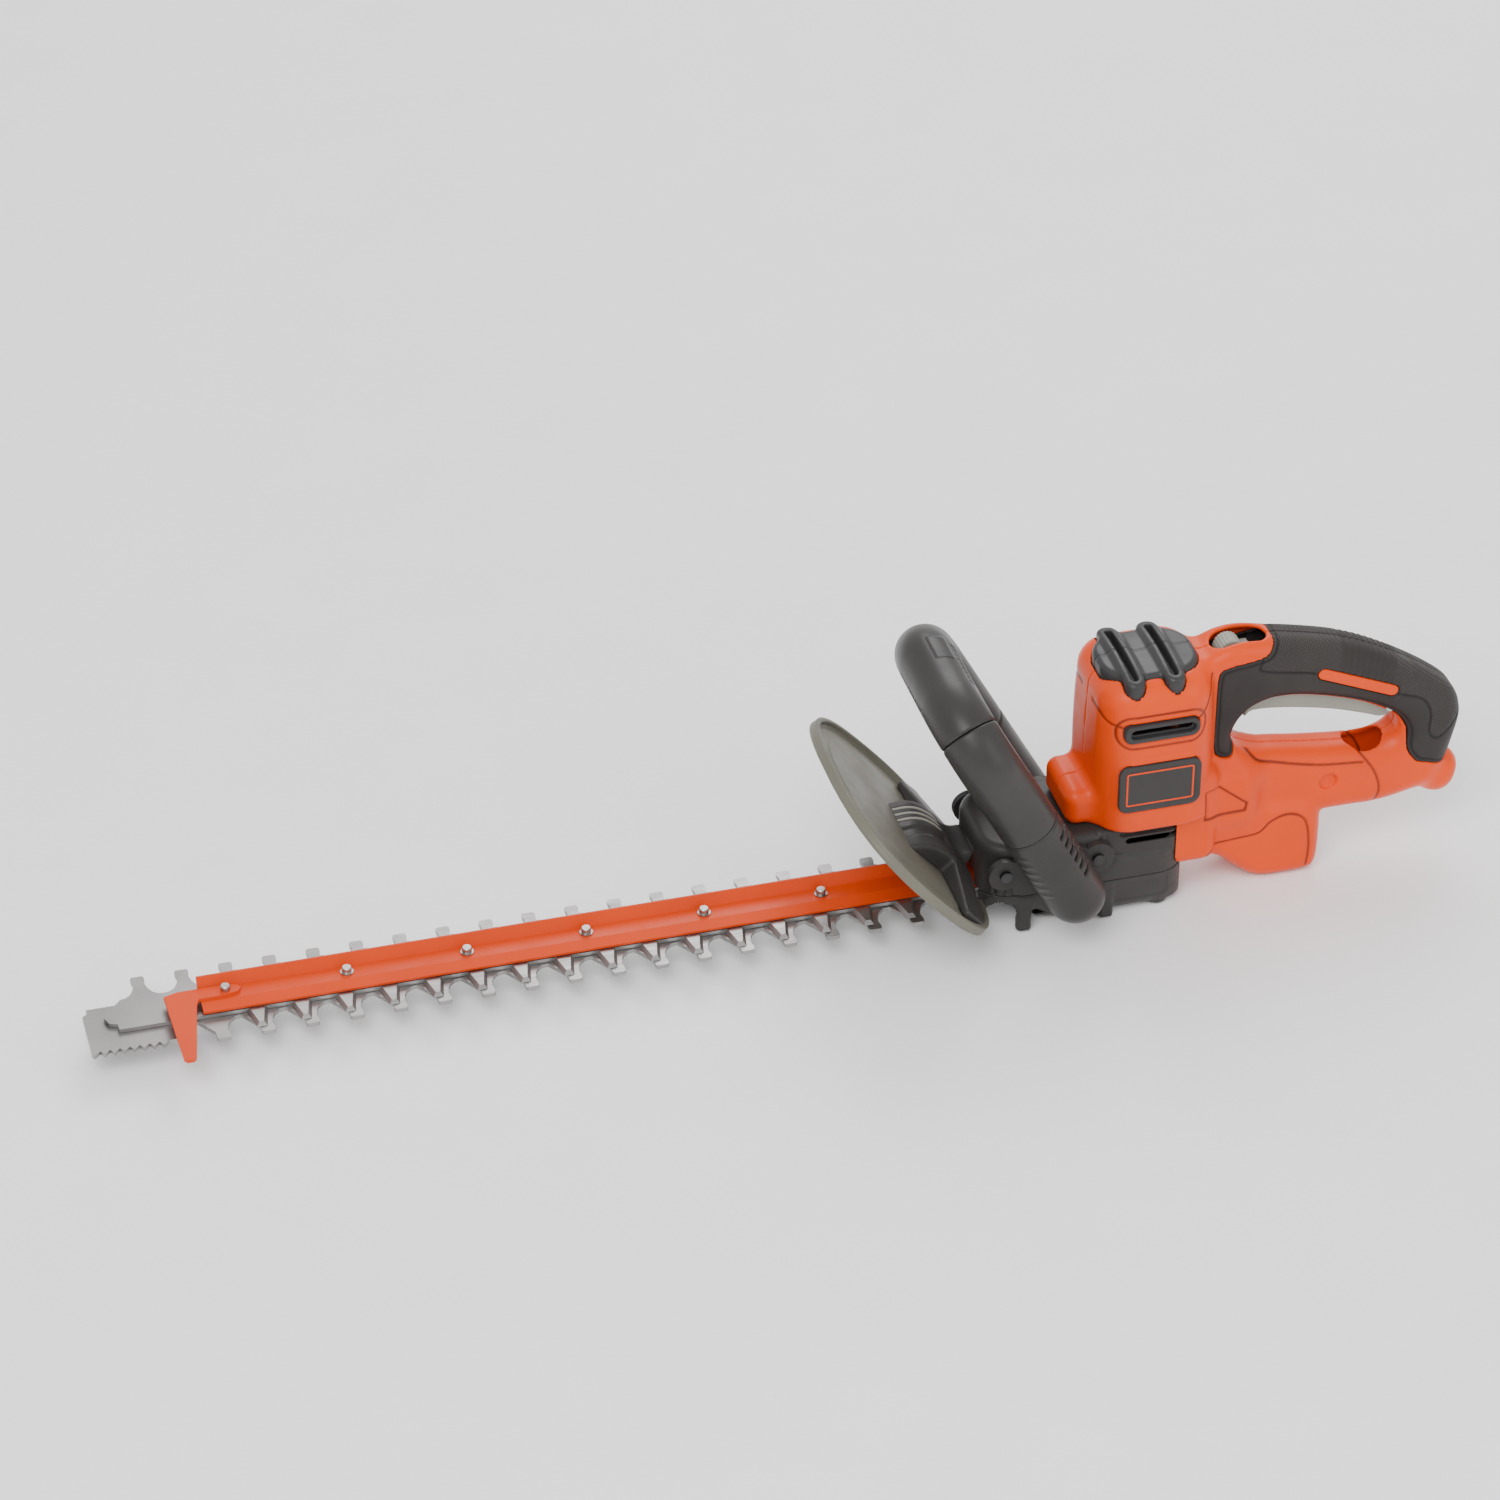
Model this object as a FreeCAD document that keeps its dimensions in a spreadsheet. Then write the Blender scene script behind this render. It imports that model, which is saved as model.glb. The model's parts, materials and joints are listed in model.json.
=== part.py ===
import FreeCAD, Part
import Sketcher
import math
import os
import re

# Corded hedge trimmer, 508 mm double-action blade with a saw tip, in millimetres.
# The blade points along -X, +Y is the user's right hand, +Z is up.
# The origin is on the flat base, under the axis of the drive gear.

V = FreeCAD.Vector

SIZES = {
    # blades
    "tooth_pitch": 25.4,
    "tooth_tip_y": 32.4,
    "tooth_root_y": 13.8,
    "short_tip_y": 28.0,
    "spine_half_width": 13.0,
    "blade_plane_z": 20.0,
    "blade_thickness": 2.5,
    "blade_gap": 0.2,
    "near_tooth_count": 17,
    "far_tooth_count": 18,
    "first_near_tooth_x": -505.0,
    "first_far_tooth_x": -543.5,
    "blade_tail_x": 36.0,
    "yoke_half_width": 16.0,
    "stroke": 10.0,
    "slot_width": 6.6,
    # saw tip
    "saw_end_x": -579.0,
    "saw_root_x": -530.0,
    "saw_pitch": 5.6,
    "saw_depth": 3.4,
    "saw_edge_y": -29.5,
    # bar over the blades
    "bar_front_x": -513.0,
    "bar_rear_x": -22.0,
    "bar_floor_z": 25.0,
    "bar_sheet": 1.6,
    "bar_flange": 8.6,
    "bolt_first_x": -498.0,
    "bolt_spacing": 70.0,
    "bolt_count": 6,
    "bolt_radius": 2.0,
    "sleeve_radius": 3.0,
    "washer_radius": 3.9,
    "washer_thickness": 0.9,
    "head_radius": 2.8,
    "head_height": 3.0,
    "head_chamfer": 0.4,
    "nut_radius": 4.0,
    "nut_height": 3.2,
    "slide_washer_radius": 6.0,
    "slide_washer_thickness": 1.6,
    # tip stop
    "stop_sheet": 2.0,
    "stop_reach_y": -58.0,
    # guard, a leaning oval shield with a raised rim
    "guard_lean": 41.3,
    "guard_half_width": 82.0,
    "guard_half_height": 65.2,
    "guard_centre_x": -103.4,
    "guard_centre_z": 65.0,
    "guard_sheet": 2.4,
    "saddle_half_width": 23.5,
    "stripe_width": 1.8,
    "stripe_depth": 1.2,
    "guard_rim_height": 6.0,
    "guard_rim_width": 2.6,
    # bail handle, a leaning arch of thick tube
    "bail_lean": 28.8,
    "bail_radius": 17.5,
    "bail_half_span": 52.0,
    "bail_height": 138.0,
    "bail_corner": 31.0,
    "bail_seam": 59.0,
    "bail_bend_seam": 46.0,
    "bail_foot_x": -12.0,
    "bail_foot_z": 40.0,
    # gearcase
    "case_front_x": -60.0,
    "case_rear_x": 66.0,
    "case_half_width": 33.0,
    "case_split_z": 27.0,
    "case_top_z": 62.0,
    "case_wall": 3.0,
    # gear train
    "gear_module": 1.0,
    "gear_x": 10.0,
    "gear_teeth": 52,
    "pinion_teeth": 12,
    "gear_z": 31.0,
    "gear_height": 7.0,
    "spindle_length": 25.0,
    "crank_radius": 5.0,
    "crank_pin_radius": 3.8,
    # motor
    "motor_x": 42.0,
    "field_radius": 28.0,
    "core_radius": 17.8,
    "shaft_radius": 4.0,
    "pinion_bore": 2.9,
    "stack_low_z": 82.0,
    "stack_height": 32.0,
    "coil_height": 9.0,
    "shaft_step_z": 50.0,
    "shaft_top_z": 149.0,
    "fan_low_z": 64.0,
    "fan_radius": 26.0,
    # hood and handle
    "hood_front_x": 9.0,
    "hood_rear_x": 80.0,
    "hood_half_width": 38.0,
    "hood_low_z": 62.0,
    "hood_top_z": 160.0,
    "hood_corner": 20.0,
    "wall": 2.8,
    "grip_half_width": 16.5,
    "inlet_half_width": 22.0,
    # trigger and lock-off slider
    "trigger_half_width": 7.0,
    "trigger_pin_x": 193.0,
    "trigger_pin_z": 103.5,
    "trigger_pin_radius": 2.5,
    "trigger_pin_length": 25.0,
    "slider_half_width": 6.0,
    # fasteners in the shells
    "screw_head_radius": 3.5,
    "screw_radius": 1.9,
}

doc = FreeCAD.newDocument("hedge_trimmer")
sheet = doc.addObject("Spreadsheet::Sheet", "Sizes")
for row, (alias, value) in enumerate(SIZES.items(), start=1):
    sheet.set("A%d" % row, alias)
    sheet.set("B%d" % row, str(value))
    sheet.setAlias("B%d" % row, alias)
doc.recompute()

nodes = []


def size(alias):
    """The value of one cell of the sheet."""
    return float(sheet.get(alias))


def keep(obj, label):
    """Names an object as a sub-part that gets a file."""
    obj.Label = label
    nodes.append(obj)
    return obj


def feature(label, shape):
    """A sub-part whose shape is made with Part's own functions."""
    obj = doc.addObject("Part::Feature", label)
    obj.Shape = shape
    obj.Placement = shape.Placement
    return keep(obj, label)


def on_sheet(text):
    """An expression in which each alias is read from the sheet."""
    return re.sub(r"[a-z][a-z_]*", lambda word: "Sizes." + word.group(0), str(text))


def bind(obj, **sizes):
    """Ties an object's properties to expressions on the sheet."""
    for prop, text in sizes.items():
        obj.setExpression(prop, on_sheet(text))
    return obj


def put(obj, x, y, z):
    """Ties an object's place to expressions on the sheet."""
    for axis, text in zip("xyz", (x, y, z)):
        obj.setExpression("Placement.Base." + axis, on_sheet(text))
    return obj


def cylinder(name, x, y, low, height, radius):
    """An upright Part cylinder."""
    return put(bind(doc.addObject("Part::Cylinder", name), Radius=radius, Height=height), x, y, low)


def block(name, corner, length, width, height):
    """A Part box from its lowest corner."""
    return put(bind(doc.addObject("Part::Box", name), Length=length, Width=width, Height=height), *corner)


def cut_from(name, base, tool):
    """One object with another taken away."""
    obj = doc.addObject("Part::Cut", name)
    obj.Base = base
    obj.Tool = tool
    return obj


def fused(name, parts):
    """Several objects joined into one."""
    obj = doc.addObject("Part::MultiFuse", name)
    obj.Shapes = parts
    return obj


def tube(name, x, y, low, height, outer, inner):
    """An upright tube cut from two cylinders."""
    return cut_from(name, cylinder(name + "_outside", x, y, low, height, outer),
                    cylinder(name + "_bore", x, y, low, height, inner))


def group(label, parts):
    """Several equal pieces kept as one sub-part."""
    obj = doc.addObject("Part::Compound", label)
    obj.Links = parts
    return keep(obj, label)


def sketch_on(body, role, offset, name):
    """A sketch on one of a body's own origin planes, moved along the plane's normal."""
    plane = next(item for item in body.Origin.OriginFeatures if item.Role == role)
    sketch = body.newObject("Sketcher::SketchObject", name)
    sketch.AttachmentSupport = [(plane, "")]
    sketch.MapMode = "FlatFace"
    sketch.setExpression("AttachmentOffset.Base.z", on_sheet(offset))
    return sketch


def draw_circle(sketch, across, up, radius):
    """A circle whose centre and radius follow the sheet."""
    index = sketch.addGeometry(Part.Circle(V(1, 1, 0), V(0, 0, 1), 1))
    centre = 3
    for kind, text in (("DistanceX", across), ("DistanceY", up)):
        sketch.addConstraint(Sketcher.Constraint(kind, -1, 1, index, centre, 1.0))
        sketch.setExpression("Constraints[%d]" % (sketch.ConstraintCount - 1), on_sheet(text))
    sketch.addConstraint(Sketcher.Constraint("Radius", index, 1.0))
    sketch.setExpression("Constraints[%d]" % (sketch.ConstraintCount - 1), on_sheet(radius))


def draw_outline(sketch, points):
    """A closed run of straight lines."""
    ends = points[1:] + points[:1]
    sketch.addGeometry([Part.LineSegment(V(*a, 0), V(*b, 0)) for a, b in zip(points, ends)], False)


def pad(body, sketch, length, both_ways=False):
    """A pad whose length follows the sheet."""
    feat = bind(body.newObject("PartDesign::Pad", sketch.Name + "_pad"), Length=length)
    feat.Profile = sketch
    feat.Midplane = both_ways
    return feat


def drill(body, role, places, radius):
    """Round holes right through a body."""
    sketch = sketch_on(body, role, 0, body.Name + "_holes")
    for across, up in places:
        draw_circle(sketch, across, up, radius)
    pocket = body.newObject("PartDesign::Pocket", body.Name + "_drilled")
    pocket.Profile = sketch
    pocket.Type = "ThroughAll"
    pocket.Midplane = True
    return pocket


def round_body(label, x, low, height, outer, inner=None):
    """An upright disc, rod or ring as a padded body."""
    body = doc.addObject("PartDesign::Body", label)
    sketch = sketch_on(body, "XY_Plane", low, label + "_plan")
    draw_circle(sketch, x, 0, outer)
    if inner:
        draw_circle(sketch, x, 0, inner)
    pad(body, sketch, height)
    return keep(body, label)


def prism(points, low, high):
    """An upright solid from a plan outline."""
    wire = Part.makePolygon([V(x, y, low) for x, y in points + points[:1]])
    return Part.Face(wire).extrude(V(0, 0, high - low))


def side_prism(points, half_width, middle=0.0):
    """A solid from a side outline of x and z, as wide as twice half_width."""
    wire = Part.makePolygon([V(x, middle - half_width, z) for x, z in points + points[:1]])
    return Part.Face(wire).extrude(V(0, 2 * half_width, 0))


def side_blob(points, half_width, middle=0.0):
    """Like side_prism, but the outline is a closed smooth curve through the points."""
    curve = Part.BSplineCurve()
    curve.interpolate([V(x, middle - half_width, z) for x, z in points], PeriodicFlag=True)
    return Part.Face(Part.Wire(curve.toShape())).extrude(V(0, 2 * half_width, 0))


def box(low, high):
    """A box between two corners."""
    return Part.makeBox(high[0] - low[0], high[1] - low[1], high[2] - low[2], V(*low))


def rounded_box(low, high, radius, axis="z"):
    """A box whose edges along one axis are rounded."""
    solid = box(low, high)
    direction = {"x": V(1, 0, 0), "y": V(0, 1, 0), "z": V(0, 0, 1)}[axis]
    edges = [e for e in solid.Edges if abs(e.tangentAt(e.FirstParameter).dot(direction)) > 0.99]
    return solid.makeFillet(radius, edges)


def soft_box(low, high, radius_upright, radius_top, radius_low=0):
    """A box rounded at its upright edges, then round its top and, if wanted, its bottom."""
    solid = rounded_box(low, high, radius_upright)
    top = [e for e in solid.Edges if min(v.Z for v in e.Vertexes) > high[2] - 0.01]
    solid = solid.makeFillet(radius_top, top)
    if radius_low:
        bottom = [e for e in solid.Edges if max(v.Z for v in e.Vertexes) < low[2] + 0.01]
        solid = solid.makeFillet(radius_low, bottom)
    return solid


def rod(x, y, low, high, radius):
    """An upright cylinder."""
    return Part.makeCylinder(radius, high - low, V(x, y, low))


def cross_rod(x, z, low_y, high_y, radius):
    """A cylinder along Y."""
    return Part.makeCylinder(radius, high_y - low_y, V(x, low_y, z), V(0, 1, 0))


def slot_plan(x, y, length, width, low, high):
    """An upright slot with round ends, long along X."""
    reach = (length - width) / 2
    bar = box((x - reach, y - width / 2, low), (x + reach, y + width / 2, high))
    return bar.multiFuse([rod(x - reach, y, low, high, width / 2), rod(x + reach, y, low, high, width / 2)])


def half(shape, side):
    """The left (-1) or right (+1) half of a shape, cut at the middle plane."""
    box_all = shape.BoundBox
    low_y = 0.0 if side > 0 else box_all.YMin - 1
    high_y = box_all.YMax + 1 if side > 0 else 0.0
    cutter = box((box_all.XMin - 1, low_y, box_all.ZMin - 1), (box_all.XMax + 1, high_y, box_all.ZMax + 1))
    return shape.common(cutter)


# ---------------------------------------------------------------- blades

def long_tooth(x, side, slanted):
    """The plan points of one long paddle-ended tooth, from the root before it to the one after."""
    root = size("tooth_root_y")
    tip = size("tooth_tip_y")
    reach = tip - root
    waist = 3.2
    paddle = 3.9
    swell = size("tooth_pitch") / 2
    left = [(swell, 0.0), (swell * 0.72, 0.04), (swell * 0.50, 0.16), (waist + 1.2, 0.36), (waist, 0.62)]
    if slanted:
        left = [(swell, 0.0), (swell * 0.90, 0.05), (waist + 0.6, 0.66)]
    right = [(waist, 0.62), (waist + 1.2, 0.36), (swell * 0.50, 0.16), (swell * 0.72, 0.04)]
    ends = [(-paddle, 0.80), (-paddle, 0.94), (-paddle + 0.9, 1.0)]
    outline = [(-across, up) for across, up in left] + ends
    outline += [(paddle - 0.9, 1.0), (paddle, 0.94), (paddle, 0.80)] + right
    return [(x + across, side * (root + up * reach)) for across, up in outline]


def short_tooth(x, side, low, high):
    """One short tooth with ground faces: wide at the bottom, narrower on top."""
    root = size("tooth_root_y") - 2.5
    tip = size("short_tip_y")

    def plan(inset, z):
        end = tip - inset
        corners = [(-6.4 + inset, root), (-3.0 + inset, end), (3.0 - inset, end), (6.4 - inset, root)]
        points = [V(x + across, side * y, z) for across, y in corners]
        return Part.makePolygon(points + points[:1])

    return Part.makeLoft([plan(0.0, low), plan(1.7, high)], True)


def bolt_places():
    """The x of each blade bolt as a number."""
    return [size("bolt_first_x") + size("bolt_spacing") * i for i in range(int(size("bolt_count")))]


def blade(near_teeth, far_teeth, tip_points, low):
    """One blade: spine, long teeth on one side, slots for the bolts and the crank window."""
    thick = size("blade_thickness")
    width = size("spine_half_width")
    tail = -34.0
    teeth = near_teeth if near_teeth else far_teeth
    side = -1 if near_teeth else 1
    edge = []
    for x in teeth:
        edge += long_tooth(x, side, side < 0)
    other = [(tail, -side * width), (tip_points[-1][0], -side * width)]
    outline = edge + [(tail, side * width)] + other + tip_points[::-1]
    flat = prism(outline, low, low + thick)
    yoke_wide = size("yoke_half_width")
    yoke = rounded_box((tail - 2, -yoke_wide, low), (size("blade_tail_x"), yoke_wide, low + thick), 6)
    flat = flat.fuse(yoke)
    reach = size("crank_radius") + size("crank_pin_radius") + 0.7
    gear_x = size("gear_x")
    long_reach = reach + size("stroke") / 2
    under = low - 1
    over = low + thick + 1
    window = rounded_box((gear_x - long_reach, -reach, under), (gear_x + long_reach, reach, over), 4)
    slot_length = size("slot_width") + size("stroke") + 1
    slots = [slot_plan(x, 0, slot_length, size("slot_width"), under, over) for x in bolt_places()]
    return flat.cut(window.multiFuse(slots))


def tooth_places(first, count):
    """The x of every long tooth of a blade."""
    return [size(first) + size("tooth_pitch") * i for i in range(int(size(count)))]


def make_upper_blade():
    low = size("blade_plane_z") + size("blade_gap") / 2
    high = low + size("blade_thickness")
    first = size("first_far_tooth_x")
    root = size("tooth_root_y")
    front = first - size("tooth_pitch") / 2
    tip = [(front, root), (front - 5.0, 8.0), (front - 10.5, 4.5), (front - 11.5, -1.0), (front - 9.5, -6.0),
           (front - 5, -8)]
    places = tooth_places("first_far_tooth_x", "far_tooth_count")
    solid = blade(None, places, tip, low)
    others = tooth_places("first_near_tooth_x", "near_tooth_count")[1:]
    shorts = [short_tooth(x - 3.0, -1, low, high) for x in others]
    return feature("upper_blade", solid.multiFuse(shorts).removeSplitter())


def make_lower_blade():
    """The lower blade carries the saw at its tip, with its teeth towards the left."""
    high = size("blade_plane_z") - size("blade_gap") / 2
    low = high - size("blade_thickness")
    end = size("saw_end_x")
    root = size("saw_root_x")
    edge = size("saw_edge_y")
    depth = size("saw_depth")
    count = int((root - end - 4) / size("saw_pitch"))
    saw = [(end + 3, 9.5), (end, 7.0), (end - 0.5, edge + 2)]
    for i in range(count):
        start = end + 1.0 + i * size("saw_pitch")
        saw += [(start, edge), (start + size("saw_pitch") * 0.62, edge + depth)]
    first = size("first_near_tooth_x")
    front = first - size("tooth_pitch") / 2
    saw += [(root, edge + depth), (root + 3, -20.0), (front, -size("tooth_root_y"))]
    places = tooth_places("first_near_tooth_x", "near_tooth_count")
    solid = blade(places, None, saw[::-1], low)
    others = tooth_places("first_far_tooth_x", "far_tooth_count")[2:]
    shorts = [short_tooth(x + 3.0, 1, high, low) for x in others]
    return feature("lower_blade", solid.multiFuse(shorts).removeSplitter())


def make_bar():
    """The painted bar: a sheet folded up along the right and sloping down along the left."""
    floor = size("bar_floor_z")
    sheet_t = size("bar_sheet")
    flange = floor + size("bar_flange")
    section = [(-12.6, floor - 2.0), (-5.6, floor), (6.0, floor), (10.2, flange - 0.4), (8.6, flange),
               (5.4, floor + sheet_t), (-5.9, floor + sheet_t), (-12.9, floor - 2.0 + sheet_t)]
    body = doc.addObject("PartDesign::Body", "blade_bar")
    sketch = sketch_on(body, "YZ_Plane", "bar_front_x", "bar_section")
    draw_outline(sketch, section)
    pad(body, sketch, "bar_rear_x - bar_front_x")
    drill(body, "XY_Plane", [(x, 0) for x in bolt_exprs() + RIVET_PLACES], "bolt_radius + 0.1")
    return keep(body, "blade_bar")


RIVET_PLACES = [-50.0, -34.0]


def make_tip_stop():
    """The flat stop that stands out past the tooth tips and keeps the saw off hard ground."""
    reach = size("stop_reach_y")
    front = size("bar_front_x") - 20
    first = size("bolt_first_x")
    plan = [(front, 2.0), (front + 8, 4.4), (first, 4.6), (first + 7, 3.0), (first + 9, 0.0),
            (first + 7, -3.0), (first, -4.6), (front + 19, -5.0), (front + 17, -9.0),
            (front + 8, reach + 1.5), (front + 6.5, reach), (front + 2.5, reach), (front + 1, reach + 2.0)]
    body = doc.addObject("PartDesign::Body", "tip_stop")
    sketch = sketch_on(body, "XY_Plane", "bar_floor_z + bar_sheet", "stop_plan")
    draw_outline(sketch, plan)
    pad(body, sketch, "stop_sheet")
    drill(body, "XY_Plane", [("bolt_first_x", 0)], "bolt_radius + 0.1")
    return keep(body, "tip_stop")


def bolt_exprs():
    """The x of each blade bolt as an expression on the sheet."""
    return ["bolt_first_x + bolt_spacing * %d" % i for i in range(int(size("bolt_count")))]


def make_blade_fasteners():
    """Bolts, washers, sleeves and nuts that hold the two blades under the bar."""
    top = "bar_floor_z + bar_sheet"
    low = "blade_plane_z - blade_gap / 2 - blade_thickness"
    hole = "bolt_radius + 0.05"
    places = list(enumerate(bolt_exprs()))
    group("bolt_washers", [tube("bolt_washer_%d" % i, x, 0, top, "washer_thickness", "washer_radius", hole)
                           for i, x in places[1:]])
    sleeve_height = "bar_floor_z + 0.3 - (%s)" % low
    sleeve_low = low + " - 0.3"
    sleeves = [tube("blade_sleeve_%d" % i, x, 0, sleeve_low, sleeve_height, "sleeve_radius", hole)
               for i, x in places]
    group("blade_sleeves", sleeves)
    seat_low = low + " - 0.3 - slide_washer_thickness"
    group("blade_slide_washers", [tube("slide_washer_%d" % i, x, 0, seat_low, "slide_washer_thickness",
                                       "slide_washer_radius", hole) for i, x in places])
    nuts = []
    bolts = []
    for index, x in places:
        name = "_%d" % index
        hexagon = doc.addObject("Part::Prism", "nut_outside" + name)
        put(bind(hexagon, Circumradius="nut_radius", Height="nut_height"), x, 0, seat_low + " - nut_height")
        bore = cylinder("nut_bore" + name, x, 0, low + " - 6", 6, "bolt_radius")
        nuts.append(cut_from("nut" + name, hexagon, bore))
        seat = top + (" + stop_sheet" if index == 0 else " + washer_thickness")
        shank_length = "%s - (%s) + 6" % (seat, low)
        shank = cylinder("bolt_shank" + name, x, 0, low + " - 6", shank_length, "bolt_radius")
        head = cylinder("bolt_head" + name, x, 0, seat, "head_height - head_chamfer", "head_radius")
        crown = doc.addObject("Part::Cone", "bolt_crown" + name)
        bind(crown, Radius1="head_radius", Radius2="head_radius - head_chamfer", Height="head_chamfer")
        put(crown, x, 0, seat + " + head_height - head_chamfer")
        bolts.append(fused("bolt" + name, [shank, head, crown]))
    group("blade_nuts", nuts)
    group("blade_bolts", bolts)


# ---------------------------------------------------------------- guard

def guard_placement():
    """The frame of the leaning shield: its x is across, its y runs up the shield, z faces the user."""
    lean = math.radians(size("guard_lean"))
    across = V(0, 1, 0)
    up = V(-math.sin(lean), 0, math.cos(lean))
    facing = across.cross(up)
    matrix = FreeCAD.Matrix(across.x, up.x, facing.x, size("guard_centre_x"),
                            across.y, up.y, facing.y, 0,
                            across.z, up.z, facing.z, size("guard_centre_z"), 0, 0, 0, 1)
    return FreeCAD.Placement(matrix)


def oval(half_width, half_height, power=2.6, count=28):
    """A closed smooth oval, squarer than an ellipse."""
    points = []
    for i in range(count):
        turn = 2 * math.pi * i / count
        c = math.cos(turn)
        s = math.sin(turn)
        points.append(V(half_width * math.copysign(abs(c) ** (2 / power), c),
                        half_height * math.copysign(abs(s) ** (2 / power), s), 0))
    curve = Part.BSplineCurve()
    curve.interpolate(points, PeriodicFlag=True)
    return Part.Face(Part.Wire(curve.toShape()))


def make_guard():
    """The shield with its rim, open at the bottom middle for the bar."""
    wide = size("guard_half_width")
    tall = size("guard_half_height")
    rim = size("guard_rim_width")
    plate = oval(wide, tall).extrude(V(0, 0, size("guard_sheet")))
    ring = oval(wide, tall).extrude(V(0, 0, size("guard_rim_height")))
    ring = ring.cut(oval(wide - rim, tall - rim).extrude(V(0, 0, size("guard_rim_height") + 1)))
    shield = plate.fuse(ring)
    mouth = rounded_box((-24, -tall - 12, -5), (24, -26, 20), 8)
    shield = shield.cut(mouth)
    shield.Placement = guard_placement()
    return feature("guard", shield)


SADDLE = [(-106, 64), (-98, 67.5), (-88, 66.5), (-79, 60.5), (-72.5, 52), (-69, 43), (-70, 36), (-76, 33.5),
          (-92, 38)]


def make_guard_mount(shield):
    """The hooked saddle behind the shield with its light stripes, its beam and the neck to the gearcase."""
    place = guard_placement()
    behind = box((-100, -100, size("guard_sheet") + 0.1), (100, 100, 140))
    behind.Placement = place
    beam = rounded_box((-70, -44, size("guard_sheet") + 0.1), (70, -27, 16.0), 4, "x")
    beam = beam.cut(rounded_box((-24, -60, -1), (24, -36, 30), 5))
    beam.Placement = place
    half_width = size("saddle_half_width")
    saddle = side_blob(SADDLE, half_width).common(behind)
    front = size("case_front_x")
    neck = box((-88, -17, 38), (front + 2, 17, 54))
    neck = neck.makeFillet(5, [e for e in neck.Edges if abs(e.tangentAt(e.FirstParameter).x) > 0.9])
    neck = neck.common(behind)
    mount = beam.multiFuse([saddle, neck]).cut(case_block().fuse(shield)).removeSplitter()
    depth = size("stripe_depth")
    half = size("stripe_width") / 2
    core = side_blob([(x - depth, z - depth) for x, z in SADDLE], half_width + 1)
    stripes = []
    for middle in (4.0, 9.5, 15.0):
        strip = side_blob(SADDLE, half, middle).common(behind).cut(core)
        stripes.append(strip.common(box((-110, middle - 2, 47), (-60, middle + 2, 80))))
    inlay = stripes[0].multiFuse(stripes[1:])
    feature("guard_mount", mount.cut(inlay))
    feature("guard_mount_ridges", inlay)


# ---------------------------------------------------------------- bail handle

def bail_placement():
    """The frame of the leaning arch: x across, y up along the lean, from the line of its feet."""
    lean = math.radians(size("bail_lean"))
    across = V(0, 1, 0)
    up = V(-math.sin(lean), 0, math.cos(lean))
    facing = across.cross(up)
    matrix = FreeCAD.Matrix(across.x, up.x, facing.x, size("bail_foot_x"),
                            across.y, up.y, facing.y, 0,
                            across.z, up.z, facing.z, size("bail_foot_z"), 0, 0, 0, 1)
    return FreeCAD.Placement(matrix)


def arch(radius, foot=-3.0):
    """The arch tube in its own frame: two legs with round feet, two bends and the cross grip."""
    span = size("bail_half_span")
    top = size("bail_height")
    bend = size("bail_corner")
    leg_top = top - bend
    pieces = []
    for side in (-1, 1):
        pieces.append(Part.makeCylinder(radius, leg_top - foot, V(side * span, foot, 0), V(0, 1, 0)))
        pieces.append(Part.makeSphere(radius, V(side * span, foot, 0)))
        centre = V(side * (span - bend), leg_top, 0)
        start = centre + V(side * bend, 0, 0)
        ring = Part.Face(Part.Wire(Part.makeCircle(radius, start, V(0, 1, 0))))
        pieces.append(ring.revolve(centre, V(0, 0, side), 90))
    cross = span - bend
    pieces.append(Part.makeCylinder(radius, 2 * cross, V(-cross, top, 0), V(1, 0, 0)))
    return pieces[0].multiFuse(pieces[1:])


def bail_zones():
    """The stretch of the arch that each length takes, as outlines seen square to the arch."""
    seam_low = size("bail_seam")
    gap = 1.2
    far = 200.0
    middle = size("bail_half_span") - size("bail_corner")
    bend_z = size("bail_height") - size("bail_corner")

    def from_bend(degrees, side):
        turn = math.radians(degrees)
        return (side * (middle + far * math.cos(turn)), bend_z + far * math.sin(turn))

    seam_high = size("bail_bend_seam")
    top_start = seam_high + 2
    foot_end = seam_low - gap
    zones = {"bail_top": [(-middle, bend_z), from_bend(top_start, -1), (0, 2 * far), from_bend(top_start, 1),
                          (middle, bend_z)]}
    for side, word in ((-1, "_left"), (1, "_right")):
        edge = side * far
        inner = side * middle
        zones["bail_foot" + word] = [(0, -far), (edge, -far), (edge, foot_end), (0, foot_end)]
        zones["bail_sleeve" + word] = [(inner, seam_low), (edge, seam_low), (edge, bend_z),
                                       from_bend(seam_high, side), (inner, bend_z)]
    return zones


def make_bail():
    """The bail in five lengths: two feet, two leg sleeves and the top grip."""
    radius = size("bail_radius")
    wall = 3.0
    tube = arch(radius).cut(arch(radius - wall))
    place = bail_placement()
    for label, outline in bail_zones().items():
        piece = tube.common(prism(outline, -40, 40))
        piece.Placement = place
        if label.startswith("bail_foot"):
            side = -1 if label.endswith("left") else 1
            slots = [slot_cut(side, i) for i in range(6)]
            piece = piece.cut(side_plate(side)).cut(slots[0].multiFuse(slots[1:]))
        feature(label, piece)
    rings = []
    for side in (-1, 1):
        centre = V(side * size("bail_half_span"), size("bail_seam") - 4.2, 0)
        ring_outside = Part.makeCylinder(radius - wall - 0.1, 7.0, centre, V(0, 1, 0))
        ring_inside = Part.makeCylinder(radius - wall - 2.0, 9.0, centre - V(0, 1, 0), V(0, 1, 0))
        joint = ring_outside.cut(ring_inside)
        joint.Placement = place
        rings.append(joint)
    feature("bail_joint_rings", Part.makeCompound(rings))


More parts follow.
